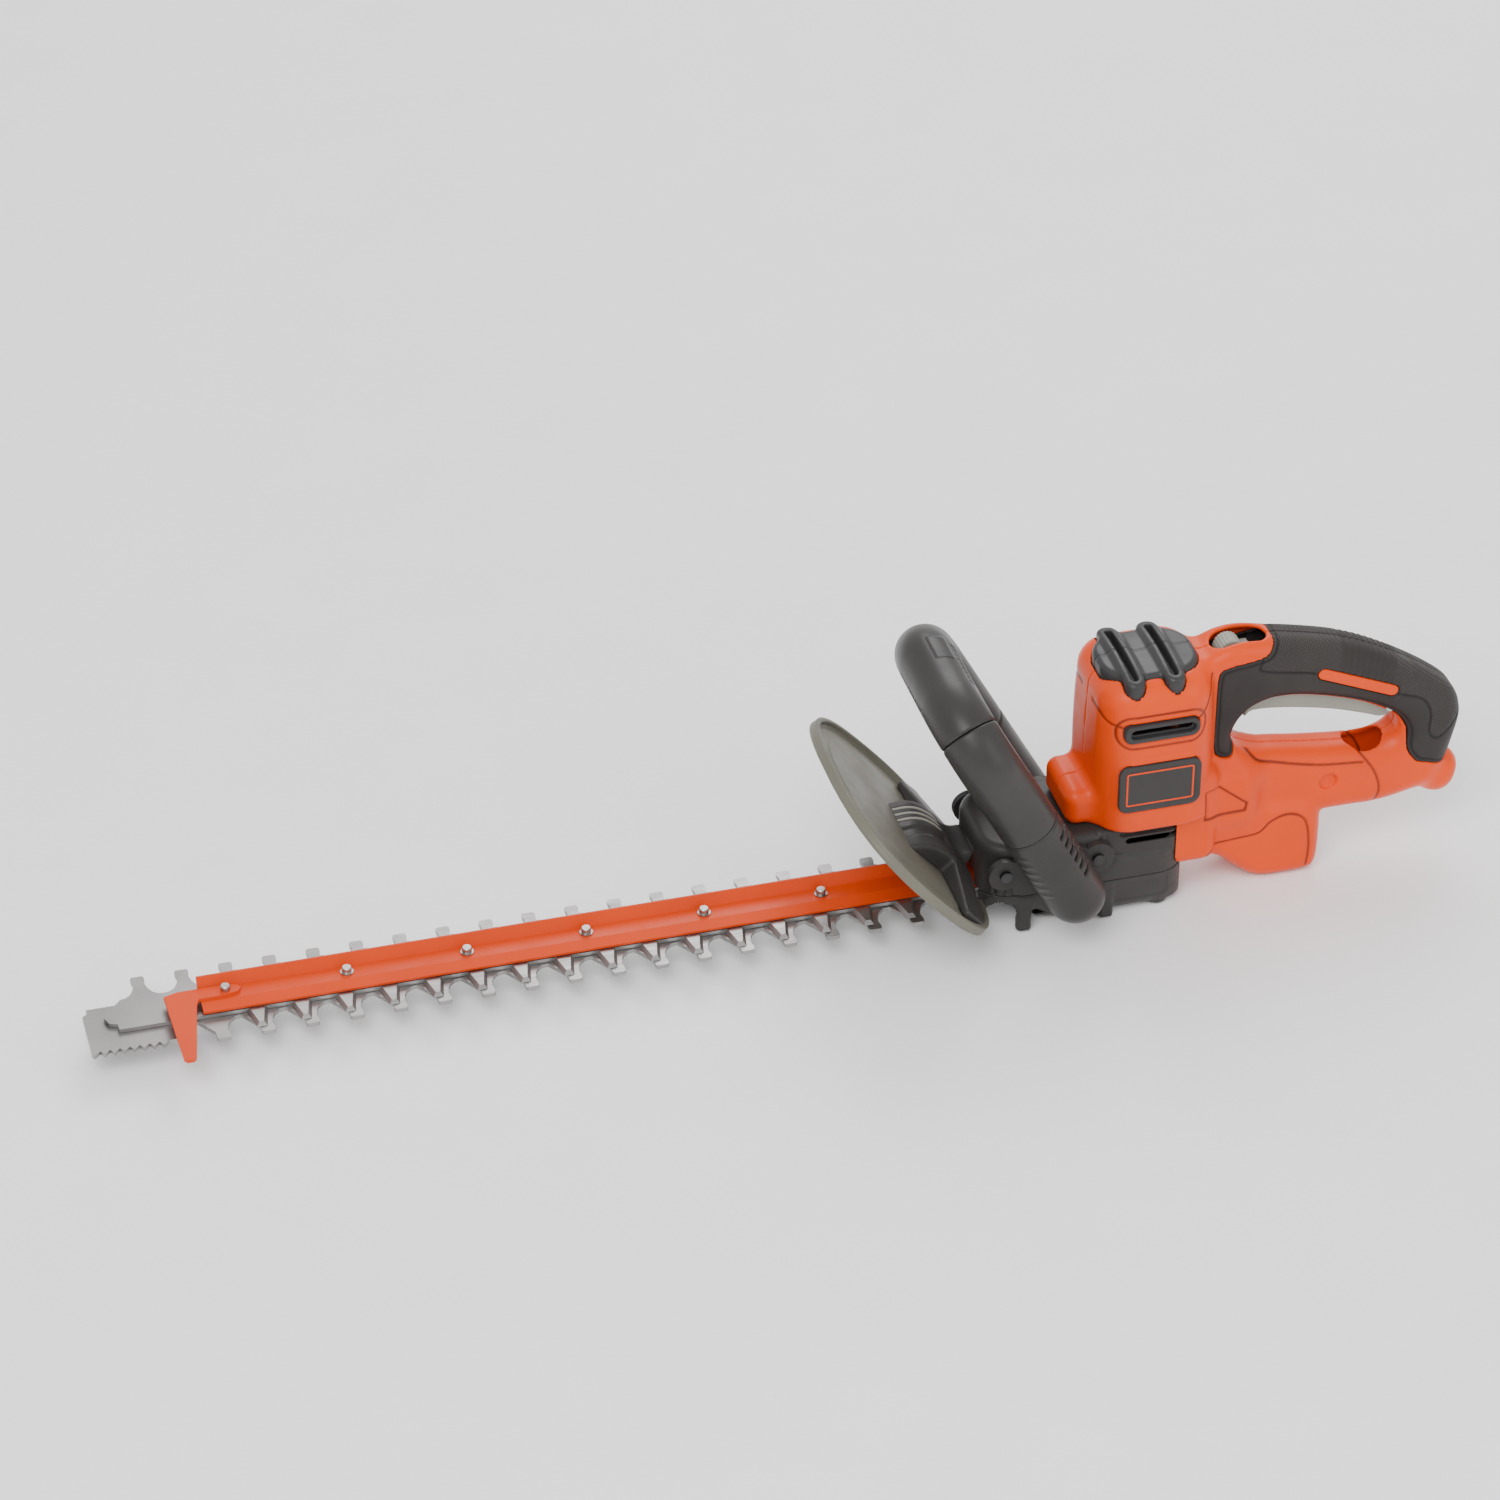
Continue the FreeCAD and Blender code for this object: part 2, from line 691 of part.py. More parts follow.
def slot_cut(side, index):
    """One of the short slots on the user's side of each foot."""
    place = bail_placement()
    level = 12.0 + index * 6.2
    middle = side * size("bail_half_span")
    cutter = box((middle - 8, level, 6), (middle + 8, level + 2.2, 30))
    cutter = cutter.makeFillet(1.0, [e for e in cutter.Edges if abs(e.tangentAt(e.FirstParameter).z) > 0.9])
    cutter.Placement = place
    return cutter


def side_plate(side):
    """The eared plate that carries a foot of the bail on the side of the gearcase."""
    inner = size("case_half_width")
    low_y = inner if side > 0 else -inner - 4.0
    ears = [cross_rod(-48, 46, low_y, low_y + 4.0, 10.0), cross_rod(8, 48, low_y, low_y + 4.0, 10.0)]
    bridge = rounded_box((-44, low_y, 30), (4, low_y + 4.0, 58), 8, "y")
    return bridge.multiFuse(ears).removeSplitter()


def plate_screws(side):
    """Two screws through the ears of a side plate."""
    inner = size("case_half_width")
    parts = []
    for x, z in ((-48, 46), (8, 48)):
        out = side * (inner + 4.0)
        head_low = min(out, out + side * 2.0)
        stem_low = min(out, out - side * 9.0)
        parts.append(cross_rod(x, z, head_low, head_low + 2.0, size("screw_head_radius"))
                     .fuse(cross_rod(x, z, stem_low, stem_low + 9.0, size("screw_radius"))))
    return parts


# ---------------------------------------------------------------- gearcase

def case_block(grow=0.0):
    """The outside of the gearcase, or the same block grown inwards by a negative amount."""
    wide = size("case_half_width") + grow
    front = size("case_front_x") - grow
    rear = size("case_rear_x") + grow
    low = 0.0 - grow
    high = size("case_top_z") + grow
    return soft_box((front, -wide, low), (rear, wide, high), 20 + grow, 6 + grow / 2, 4 + grow / 2)


def make_gearcase(fasteners):
    """Two half covers, split level with the top of the blade slot."""
    split = size("case_split_z")
    wall = size("case_wall")
    outside = case_block()
    inside = case_block(-wall)
    far = 200.0
    low_zone = box((-far, -far, -1), (far, far, split))
    high_zone = box((-far, -far, split), (far, far, far))
    gear_x = size("gear_x")
    motor_x = size("motor_x")

    front = size("case_front_x")
    blade_slot = box((front - 5, -18.5, 14.0), (size("blade_tail_x") + 10, 18.5, split))
    lower = outside.common(low_zone).cut(blade_slot)
    relief = rounded_box((-40, -26, 3), (58, 26, 30), 8).cut(box((-40, -21, -1), (52, 21, 14)))
    lower = lower.cut(relief)

    room = inside.common(box((-far, -far, split - 1), (far, far, size("case_top_z") - wall)))
    upper = outside.common(high_zone).cut(room)
    boss_low = size("bar_floor_z") + size("bar_sheet")
    bosses = [rod(x, 0, max(boss_low, split), size("case_top_z") - 1, 5.0) for x in RIVET_PLACES]
    tower = rod(gear_x, 0, 45, size("case_top_z") - 1, 9.0)
    seat = rod(motor_x, 0, 50, size("case_top_z") - 1, 13.5)
    upper = upper.multiFuse(bosses + [tower, seat])
    upper = upper.cut(rod(gear_x, 0, 44, 57, 6.5))
    upper = upper.cut(rod(motor_x, 0, 49, 60, 11.0)).cut(rod(motor_x, 0, 40, 70, 6.0))
    bar_way = box((front - 5, -13.4, 20), (size("bar_rear_x") + 1, 10.8, boss_low))
    upper = upper.cut(bar_way).cut(box((front - 5, 5.0, 20), (size("bar_rear_x") + 1, 10.8, 34.2)))
    cutters = fasteners
    for cutter in cutters:
        if cutter.BoundBox.ZMin < size("case_top_z"):
            lower = lower.cut(cutter)
            upper = upper.cut(cutter)
    feature("gearcase_lower_cover", lower.removeSplitter())
    feature("gearcase_upper_cover", upper.removeSplitter())


def case_screws():
    """Six screws that close the gearcase from below."""
    wide = size("case_half_width") - 3.6
    parts = []
    for x, y in ((-34, wide), (16, wide), (50, wide - 6), (-34, -wide), (16, -wide), (50, -wide + 6)):
        parts.append(rod(x, y, 2.5, 4.5, 2.4).fuse(rod(x, y, 4.5, 36.0, 1.4)))
    return parts


def gear_outline(teeth, module, backlash):
    """The plan points of a spur gear with straight-sided stub teeth."""
    pitch = module * teeth / 2
    outer = pitch + 0.85 * module
    root = pitch - 1.1 * module
    step = 2 * math.pi / teeth
    flank = step / 4 - backlash / (2 * pitch)
    points = []
    for tooth in range(teeth):
        middle = tooth * step
        for radius, spread in ((root, flank * 1.45), (pitch, flank), (outer, flank * 0.5)):
            points.append((radius, middle - spread))
        for radius, spread in ((outer, flank * 0.5), (pitch, flank), (root, flank * 1.45)):
            points.append((radius, middle + spread))
    return points


def gear_solid(x, teeth, turn, low, high, bore):
    """A spur gear standing upright, with one tooth turned to an angle."""
    plan = [(x + r * math.cos(a + turn), r * math.sin(a + turn))
            for r, a in gear_outline(teeth, size("gear_module"), 0.28)]
    return prism(plan, low, high).cut(rod(x, 0, low - 1, high + 1, bore))


def make_gear_train():
    x = size("gear_x")
    low = size("gear_z")
    high = low + size("gear_height")
    pin = size("crank_pin_radius")
    crank = size("crank_radius")
    wheel = gear_solid(x, int(size("gear_teeth")), 0.0, low, high, size("shaft_radius"))
    hole_circle = 17.5
    turns = [math.radians(60 * i + 30) for i in range(6)]
    lightening = [rod(x + hole_circle * math.cos(turn), hole_circle * math.sin(turn), low - 1, high + 1, 3.4)
                  for turn in turns]
    feature("drive_gear", wheel.cut(lightening[0].multiFuse(lightening[1:])))
    round_body("gear_spindle", "gear_x", "gear_z", "spindle_length", "shaft_radius")
    disc = rod(x, 0, 25.5, low, 12.0)
    blade_top = size("blade_plane_z") + size("blade_gap") / 2
    upper_pin = rod(x, crank, blade_top, 25.5, pin)
    lower_pin = rod(x, -crank, blade_top - size("blade_gap") - size("blade_thickness"), 25.5, pin)
    feature("crank_disc", disc.multiFuse([upper_pin, lower_pin]).removeSplitter())
    round_body("gear_bushing", "gear_x", 45, 12, 6.5, "shaft_radius + 0.05")


# ---------------------------------------------------------------- motor

def ring(x, low, high, outer, inner):
    """An upright tube."""
    return rod(x, 0, low, high, outer).cut(rod(x, 0, low - 1, high + 1, inner))


def make_field():
    """The still iron of the motor and its two coils at each end."""
    x = "motor_x"
    stack = tube("field_round", x, 0, "stack_low_z", "stack_height", "field_radius", "core_radius + 0.7")
    flats = block("field_flats", (x + " - 40", "3 - field_radius", "stack_low_z"), 80, "2 * field_radius - 6",
                  "stack_height")
    trimmed = doc.addObject("Part::Common", "motor_field_stack")
    trimmed.Base = stack
    trimmed.Tool = flats
    keep(trimmed, "motor_field_stack")
    coils = []
    for name, low in (("_low", "stack_low_z - coil_height"), ("_high", "stack_low_z + stack_height")):
        coil = tube("coil_ring" + name, x, 0, low, "coil_height", 25, "core_radius + 1.4")
        gate = block("coil_gate" + name, (x + " - 40", -5, low), 80, 10, "coil_height")
        coils.append(cut_from("coil" + name, coil, gate))
    group("motor_field_coils", coils)


def make_armature():
    """The turning iron with its slots, windings, commutator, shaft and pinion."""
    x = size("motor_x")
    low = size("stack_low_z")
    high = low + size("stack_height")
    core = size("core_radius")
    slot_depth = 2.6
    iron = ring(x, low, high, core, size("shaft_radius"))
    grooves = [box((core - slot_depth, -0.9, low - 1), (core + 1, 0.9, high + 1)) for _ in range(12)]
    for index, groove in enumerate(grooves):
        groove.rotate(V(0, 0, 0), V(0, 0, 1), 30 * index)
        groove.translate(V(x, 0, 0))
    feature("armature_core", iron.cut(grooves[0].multiFuse(grooves[1:])))
    ends = (("_low", "stack_low_z - 7"), ("_high", "stack_low_z + stack_height"))
    windings = [tube("winding" + name, "motor_x", 0, start, 7, "core_radius - 3", "shaft_radius")
                for name, start in ends]
    group("armature_windings", windings)
    round_body("commutator", "motor_x", "stack_low_z + stack_height + 9", 14, 10, "shaft_radius")
    shaft = doc.addObject("PartDesign::Body", "motor_shaft")
    steps = (("_pinion_end", "gear_z - 1", "shaft_step_z - gear_z + 1", "pinion_bore"),
             ("_main", "shaft_step_z", "shaft_top_z - shaft_step_z", "shaft_radius"))
    for name, start, length, radius in steps:
        sketch = sketch_on(shaft, "XY_Plane", start, "motor_shaft" + name)
        draw_circle(sketch, "motor_x", 0, radius)
        pad(shaft, sketch, length)
    keep(shaft, "motor_shaft")
    tooth_turn = math.pi + math.pi / size("pinion_teeth")
    pinion_top = size("gear_z") + size("gear_height") + 1
    feature("pinion", gear_solid(x, int(size("pinion_teeth")), tooth_turn, size("gear_z"), pinion_top,
                                 size("pinion_bore")))


def make_fan():
    """The fan under the field: a disc, a hub and a ring of straight vanes."""
    x = size("motor_x")
    low = size("fan_low_z")
    rim = size("fan_radius")
    hub = ring(x, low, low + 7, 8.0, size("shaft_radius"))
    disc = ring(x, low, low + 1.5, rim, 7.0)
    vanes = [box((7.5, -0.6, low + 1), (rim - 0.5, 0.6, low + 7)) for _ in range(11)]
    for index, vane in enumerate(vanes):
        vane.rotate(V(0, 0, 0), V(0, 0, 1), 360.0 * index / len(vanes))
        vane.translate(V(x, 0, 0))
    feature("cooling_fan", hub.multiFuse([disc] + vanes).removeSplitter())


def make_brushes():
    """Two carbon brushes in holders under one carrier ring."""
    top = "stack_low_z + stack_height + "
    brushes = []
    holders = []
    for side, word in ((-1, "_left"), (1, "_right")):
        near = "10.2" if side > 0 else "-22"
        brush = block("brush" + word, ("motor_x - 3", near, top + "11"), 6, 11.8, 7)
        shell = block("brush_box" + word, ("motor_x - 5", "12" if side > 0 else "-26", top + "9"), 10, 14, 11)
        brushes.append(brush)
        holders.append(cut_from("brush_shell" + word, shell, brush))
    group("carbon_brushes", brushes)
    carrier = tube("brush_carrier", "motor_x", 0, top + "20", 2, 27, 12)
    keep(fused("brush_holder", holders + [carrier]), "brush_holder")


def make_motor():
    """Everything that turns the gear train."""
    make_field()
    make_armature()
    make_fan()
    round_body("lower_bearing", "motor_x", 52, 7, 11, "shaft_radius")
    round_body("upper_bearing", "motor_x", 141, 7, 8, "shaft_radius")
    make_brushes()


# ---------------------------------------------------------------- orange housing

HANDLE_OUTSIDE = [(58, 146), (78, 158), (98, 164.5), (120, 162.5), (145, 157), (165, 151), (183, 143),
                  (202, 132), (221, 119), (234, 107), (239, 92), (236, 74), (231, 57), (223, 44), (206, 38),
                  (186, 35), (150, 34.5), (110, 31), (74, 26), (56, 40), (54, 90)]
HAND_GAP = [(96, 99), (100, 112), (112, 120), (130, 121), (152, 116.5), (176, 108), (195, 96.5), (200, 87),
            (194, 79.5), (180, 77), (150, 80), (128, 83.5), (106, 87.5)]
GRIP_ZONE = [(121, 185), (119, 168), (113, 156), (88, 151), (83, 145), (83, 98), (87, 91), (94, 90),
             (98, 96), (103, 113), (114, 122.5), (130, 123.5), (152, 119), (177, 110.5), (198, 98), (204, 86),
             (205, 72), (216, 64), (250, 62), (250, 185)]
ARM_OUTSIDE = [(66, 24), (86, 21), (98, 12), (108, 3), (116, 0), (146, 0), (151, 6), (152.5, 24), (150, 44),
               (140, 50),
               (70, 56)]


def handle_outside():
    """The rear handle ring, rounded all over."""
    outer = side_blob(HANDLE_OUTSIDE, size("grip_half_width"))
    gap = side_blob(HAND_GAP, size("grip_half_width") + 5)
    outer = outer.makeFillet(9.0, outer.Edges)
    gap_edges = outer.cut(gap)
    return gap_edges


def cord_tube():
    """The tube through the foot of the rear handle, and the way through it for a loop of cord."""
    start = V(191, 0, 68)
    end = V(235, 0, 43)
    along = end - start
    outer = Part.makeCylinder(14.0, along.Length, start, along)
    inner = Part.makeCylinder(10.8, along.Length + 30, start - along * 0.3, along)
    return outer, inner


def inlet_body():
    """The housing under the rear handle that the plug goes into."""
    body = side_prism(ARM_OUTSIDE, size("inlet_half_width"))
    edges = [e for e in body.Edges if abs(e.tangentAt(e.FirstParameter).y) < 0.1]
    return body.makeFillet(5.0, edges)


def housing_outside():
    """The whole outside of the orange housing as one solid."""
    wide = size("hood_half_width")
    hood = soft_box((size("hood_front_x"), -wide, size("hood_low_z")),
                    (size("hood_rear_x"), wide, size("hood_top_z")), size("hood_corner"), 14)
    lug = soft_box((-5, -20, size("hood_low_z")), (24, 20, 84), 8, 6)
    skirt = soft_box((50, -30, 26), (84, 30, 90), 10, 6).cut(case_block(0.25))
    tube, hole = cord_tube()
    whole = hood.multiFuse([lug, handle_outside(), inlet_body(), tube, skirt])
    return whole.cut(hole).cut(case_block(0.25))


def make_housing(cutters):
    """Left and right clamshells, hollow for the motor, the switch and the leads."""
    wall = size("wall")
    wide = size("hood_half_width") - wall
    motor_room = rounded_box((size("hood_front_x") + wall, -wide, 50),
                             (size("hood_rear_x") - wall, wide, size("hood_top_z") - 8), 17)
    roof = ring(size("motor_x"), 138.0, size("hood_top_z") - 7, 11.0, 8.0)
    rear_room = side_prism([(60, 40), (60, 96), (78, 146), (84, 150), (92, 150), (90, 96), (96, 76),
                            (128, 70), (185, 66), (185, 42), (150, 38), (112, 42)], 11.0)
    trigger_room = side_prism([(101, 96), (103, 150), (118, 150), (145, 146), (172, 138), (198, 122),
                               (203, 100), (200, 84)], size("trigger_half_width") + 1.0)
    slider_room = rounded_box((84, -8, 150), (116, 8, 175), 7)
    recess = rounded_box((118, -15, 8), (160, 15, 42), 9, "x")
    block_room = box((104, -13, 10), (118.5, 13, 40))
    whole = housing_outside().fuse(roof)
    hollow = [rear_room, trigger_room, slider_room, recess, block_room]
    whole = whole.cut(motor_room.cut(roof).multiFuse(hollow))
    for cutter in cutters:
        whole = whole.cut(cutter)
    for side, label in ((-1, "housing_left"), (1, "housing_right")):
        feature(label, half(whole, side))


def make_grips():
    """The rubber overmould of the rear handle and its orange inlay strips."""
    zone = side_prism(GRIP_ZONE, 40)
    skin = handle_outside().common(zone)
    inner = [(x + (150 - x) * 0.022, z + (100 - z) * 0.045) for x, z in HANDLE_OUTSIDE]
    core = side_blob(inner, size("grip_half_width") - 2.2)
    core = core.makeFillet(7.0, core.Edges)
    skin = skin.cut(core)
    tube, hole = cord_tube()
    skin = skin.cut(tube).cut(hole)
    strip_path = [(146, 138), (190, 121)]
    strips = []
    for side in (-1, 1):
        low_y = min(side * (size("grip_half_width") - 1.6), side * (size("grip_half_width") + 0.6))
        a = V(strip_path[0][0], low_y, strip_path[0][1])
        b = V(strip_path[1][0], low_y, strip_path[1][1])
        ends = [Part.makeCylinder(3.6, 2.2, p, V(0, 1, 0)) for p in (a, b)]
        along = (b - a).normalize()
        up = V(-along.z, 0, along.x) * 3.6
        wire = Part.makePolygon([a + up, b + up, b - up, a - up, a + up])
        strips.append(Part.Face(wire).extrude(V(0, 2.2, 0)).multiFuse(ends).removeSplitter())
    skin = skin.cut(strips[0]).cut(strips[1])
    return skin, strips


def make_trigger():
    """The long trigger under the grip, hinged at its rear."""
    outline = [(104.5, 109), (110, 113), (129, 111.5), (158, 105), (180, 97.5), (192, 93), (197.5, 97),
               (198, 108), (190, 111), (158, 120), (130, 126), (106, 128)]
    lever = doc.addObject("PartDesign::Body", "trigger")
    sketch = sketch_on(lever, "XZ_Plane", 0, "trigger_side")
    draw_outline(sketch, outline)
    pad(lever, sketch, "2 * trigger_half_width", both_ways=True)
    drill(lever, "XZ_Plane", [("trigger_pin_x", "trigger_pin_z")], "trigger_pin_radius + 0.05")
    keep(lever, "trigger")
    pin = doc.addObject("PartDesign::Body", "trigger_pin")
    sketch = sketch_on(pin, "XZ_Plane", 0, "pin_end")
    draw_circle(sketch, "trigger_pin_x", "trigger_pin_z", "trigger_pin_radius")
    pad(pin, sketch, "trigger_pin_length", both_ways=True)
    return keep(pin, "trigger_pin")


def make_controls():
    """The switch, the trigger's spring and the lock-off slider."""
    shell = block("switch_block", (112, -7.6, 135.5), 28, 15.2, 9.5)
    rounded = doc.addObject("Part::Fillet", "power_switch")
    rounded.Base = shell
    rounded.Edges = [(index, 1.0, 1.0) for index in range(1, 13)]
    keep(rounded, "power_switch")
    coils = [put(bind(doc.addObject("Part::Torus", "spring_turn_%d" % i), Radius1=2.8, Radius2=0.5),
                 150, 0, 127.6 + i * 1.3) for i in range(6)]
    group("trigger_spring", coils)
    wide = size("slider_half_width")
    thumb = cross_rod(94.5, 156, -wide, wide, 7.6)
    plate = box((86.5, -wide, 152.5), (107.5, wide, 156.5))
    keep_out = box((80, -20, 140), (120, 20, 152.5))
    feature("lock_off_slider", thumb.fuse(plate).cut(keep_out).removeSplitter())


def make_inlet():
    """The inlet block and its two contact blades inside the plug recess."""
    contacts = [block("contact_%d" % i, (110, y, 21.7), 26, 1.6, 6.6) for i, y in enumerate((-7.2, 5.6))]
    seats = [block("contact_seat_%d" % i, (110, y, 21.7), 26, 1.6, 6.6) for i, y in enumerate((-7.2, 5.6))]
    body = block("inlet_body", (104.2, -12.8, 10.2), 14, 25.6, 29.6)
    keep(cut_from("inlet_block", body, fused("contact_seats", seats)), "inlet_block")
    group("inlet_contacts", contacts)


def make_vent_cap():
    """The dark cap on the hood with two slotted ridges across it."""
    top = size("hood_top_z")
    cap = soft_box((16, -26, top - 7), (76, 26, top + 1.8), 20, 1.2)
    body = cap
    slots = []
    for x in (29, 53):
        ridge = soft_box((x - 6, -31, top - 6.0), (x + 6, 31, top + 5.6), 5.6, 3)
        body = body.fuse(ridge)
        slots.append(slot_cut_y(x, 40.0, 4.2, top + 0.6, top + 9))
    return body.cut(slots[0].fuse(slots[1])).removeSplitter()


def slot_cut_y(x, length, width, low, high):
    """An upright slot with round ends, long along Y."""
    reach = (length - width) / 2
    bar = box((x - width / 2, -reach, low), (x + width / 2, reach, high))
    return bar.multiFuse([rod(x, -reach, low, high, width / 2), rod(x, reach, low, high, width / 2)])


def side_vent(side):
    """The dark frame around the long side vent."""
    wide = size("hood_half_width")
    low_y = min(side * (wide - 3.5), side * (wide + 1.2))
    outer = rounded_box((20, low_y, 126), (66, low_y + 4.7, 138), 5.4, "y")
    inner = rounded_box((23, low_y - 1, 129), (63, low_y + 6, 135), 2.8, "y")
    return outer, outer.cut(inner)


def badge(side, word):
    """The blank round-cornered plate on the hood side."""
    low_y = "hood_half_width - 1.5" if side > 0 else "-hood_half_width - 1"
    plate = block("badge_block" + word, (19, low_y, 78), 50, 2.5, 32)
    doc.recompute()
    corners = [i for i, edge in enumerate(plate.Shape.Edges, start=1)
               if abs(edge.tangentAt(edge.FirstParameter).y) > 0.99]
    rounded = doc.addObject("Part::Fillet", "badge" + word)
    rounded.Base = plate
    rounded.Edges = [(index, 6.0, 6.0) for index in corners]
    doc.recompute()
    return keep(rounded, "badge" + word)


def clamshell_screws():
    """Seven screws that close the housing halves from the left."""
    parts = []
    for x, z in ((228, 98), (176, 47), (128, 60), (74, 74), (82, 34), (128, 150.5), (205, 118)):
        parts.append(cross_rod(x, z, -12.0, -9.6, size("screw_head_radius"))
                     .fuse(cross_rod(x, z, -9.6, 9.0, size("screw_radius"))))
    return parts


def make_shells():
    """The shells and every piece that is let into them, cut to fit one another."""
    grips, strips = make_grips()
    cap = make_vent_cap()
    frames = [side_vent(side) for side in (-1, 1)]
    badges = [badge(side, word).Shape for side, word in ((-1, "_left"), (1, "_right"))]
    screws = clamshell_screws()
    pin = cross_rod(size("trigger_pin_x"), size("trigger_pin_z"), -12.5, 12.5, size("trigger_pin_radius"))
    for label, side in (("grip_left", -1), ("grip_right", 1)):
        feature(label, half(grips, side))
    for label, strip in (("grip_strip_left", strips[0]), ("grip_strip_right", strips[1])):
        feature(label, strip)
    feature("top_vent_cap", cap)
    for label, (_, frame) in (("side_vent_left", frames[0]), ("side_vent_right", frames[1])):
        feature(label, frame)
    feature("housing_screws", Part.makeCompound(screws))
    let_in = [grips, cap, pin] + strips + [outer for outer, _ in frames] + badges + screws
    make_housing(let_in)


def main():
    make_upper_blade()
    make_lower_blade()
    make_bar()
    make_tip_stop()
    make_blade_fasteners()
    shield = make_guard().Shape
    make_guard_mount(shield)
    make_bail()
    plates = {side: side_plate(side) for side in (-1, 1)}
    screws = {side: plate_screws(side) for side in (-1, 1)}
    for side, word in ((-1, "left"), (1, "right")):
        plate = plates[side]
        for screw in screws[side]:
            plate = plate.cut(screw)
        feature("bail_plate_" + word, plate)
    feature("bail_screws", Part.makeCompound(screws[-1] + screws[1]))
    under = case_screws()
    feature("gearcase_screws", Part.makeCompound(under))
    rivets = [fused("rivet_%d" % i, [cylinder("rivet_head_%d" % i, x, 0, 23.3, 1.7, 3.6),
                                     cylinder("rivet_shank_%d" % i, x, 0, 25, 19, "bolt_radius")])
              for i, x in enumerate(RIVET_PLACES)]
    group("bar_rivets", rivets)
    doc.recompute()
    make_gearcase(screws[-1] + screws[1] + under + [rivet.Shape for rivet in rivets])
    make_gear_train()
    make_motor()
    make_shells()
    make_trigger()
    make_controls()
    make_inlet()


main()
doc.recompute()
os.makedirs("parts", exist_ok=True)
for old in os.listdir("parts"):
    os.remove(os.path.join("parts", old))
for node in nodes:
    if "Invalid" in node.State or "Error" in node.State:
        raise RuntimeError(node.Label + " failed to compute")
    if node.Shape.isNull() or not node.Shape.isValid():
        raise RuntimeError(node.Label + " has no valid shape")
for node in nodes:
    node.Shape.exportStep(os.path.join("parts", node.Label + ".step"))
    print(node.Label, len(node.Shape.Solids), round(node.Shape.Volume))
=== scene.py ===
"""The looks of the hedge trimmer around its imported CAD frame. Lengths in the fields are millimetres."""
import json
import math

import bpy
import numpy as np
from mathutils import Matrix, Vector


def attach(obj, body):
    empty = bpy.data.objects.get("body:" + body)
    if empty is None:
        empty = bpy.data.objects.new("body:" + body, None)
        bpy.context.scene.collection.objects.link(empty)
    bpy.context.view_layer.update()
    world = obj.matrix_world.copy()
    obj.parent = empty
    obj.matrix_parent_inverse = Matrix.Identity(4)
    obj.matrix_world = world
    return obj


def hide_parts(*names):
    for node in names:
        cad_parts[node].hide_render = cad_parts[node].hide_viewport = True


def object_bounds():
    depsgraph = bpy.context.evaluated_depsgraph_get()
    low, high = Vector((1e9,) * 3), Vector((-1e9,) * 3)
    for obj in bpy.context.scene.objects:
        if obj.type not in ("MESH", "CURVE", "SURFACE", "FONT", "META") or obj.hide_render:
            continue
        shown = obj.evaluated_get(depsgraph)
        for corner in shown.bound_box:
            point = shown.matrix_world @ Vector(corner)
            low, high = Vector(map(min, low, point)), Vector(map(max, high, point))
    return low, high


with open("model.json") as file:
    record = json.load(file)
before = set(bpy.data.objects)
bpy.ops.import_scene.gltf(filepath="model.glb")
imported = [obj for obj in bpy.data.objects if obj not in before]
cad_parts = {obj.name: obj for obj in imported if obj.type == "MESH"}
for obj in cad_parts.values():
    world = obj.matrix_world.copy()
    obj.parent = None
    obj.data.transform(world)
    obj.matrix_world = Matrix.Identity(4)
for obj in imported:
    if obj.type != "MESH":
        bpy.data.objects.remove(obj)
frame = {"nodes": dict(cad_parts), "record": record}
CAD_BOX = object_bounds()
MM = 0.001


# ---------------------------------------------------------------- fields and their meshes

def surface_net(values, low, step):
    """Vertices and quads of the surface where the sampled values cross zero."""
    inside = values < 0
    nx, ny, nz = values.shape
    total = np.zeros((nx - 1, ny - 1, nz - 1), np.int8)
    for i in (0, 1):
        for j in (0, 1):
            for k in (0, 1):
                total += inside[i:nx - 1 + i, j:ny - 1 + j, k:nz - 1 + k]
    active = (total > 0) & (total < 8)
    cells = np.argwhere(active)
    index = np.full(active.shape, -1, np.int64)
    index[active] = np.arange(len(cells))
    place = np.zeros((len(cells), 3))
    count = np.zeros(len(cells))
    for axis in range(3):
        one, two = [a for a in range(3) if a != axis]
        for da in (0, 1):
            for db in (0, 1):
                start = cells.copy()
                start[:, one] += da
                start[:, two] += db
                end = start.copy()
                end[:, axis] += 1
                a = values[tuple(start.T)].astype(float)
                b = values[tuple(end.T)].astype(float)
                cross = (a < 0) != (b < 0)
                point = start.astype(float)
                gap = np.where(cross, a - b, 1.0)
                point[:, axis] += np.where(cross, a / gap, 0.0)
                place[cross] += point[cross]
                count += cross
    verts = np.array(low) + step * place / count[:, None]
    quads = []
    for axis in range(3):
        one, two = [a for a in range(3) if a != axis]
        first = np.take(inside, range(inside.shape[axis] - 1), axis)
        second = np.take(inside, range(1, inside.shape[axis]), axis)
        edges = np.argwhere(first != second)
        keep = (edges[:, one] > 0) & (edges[:, two] > 0)
        keep &= (edges[:, one] < inside.shape[one] - 1) & (edges[:, two] < inside.shape[two] - 1)
        edges = edges[keep]
        ring = []
        for da, db in ((-1, -1), (0, -1), (0, 0), (-1, 0)):
            cell = edges.copy()
            cell[:, one] += da
            cell[:, two] += db
            ring.append(index[tuple(cell.T)])
        ring = np.stack(ring, 1)
        flip = first[tuple(edges.T)]
        if axis == 1:
            flip = ~flip
        ring[~flip] = ring[~flip][:, ::-1]
        quads.append(ring)
    return verts, np.concatenate(quads)


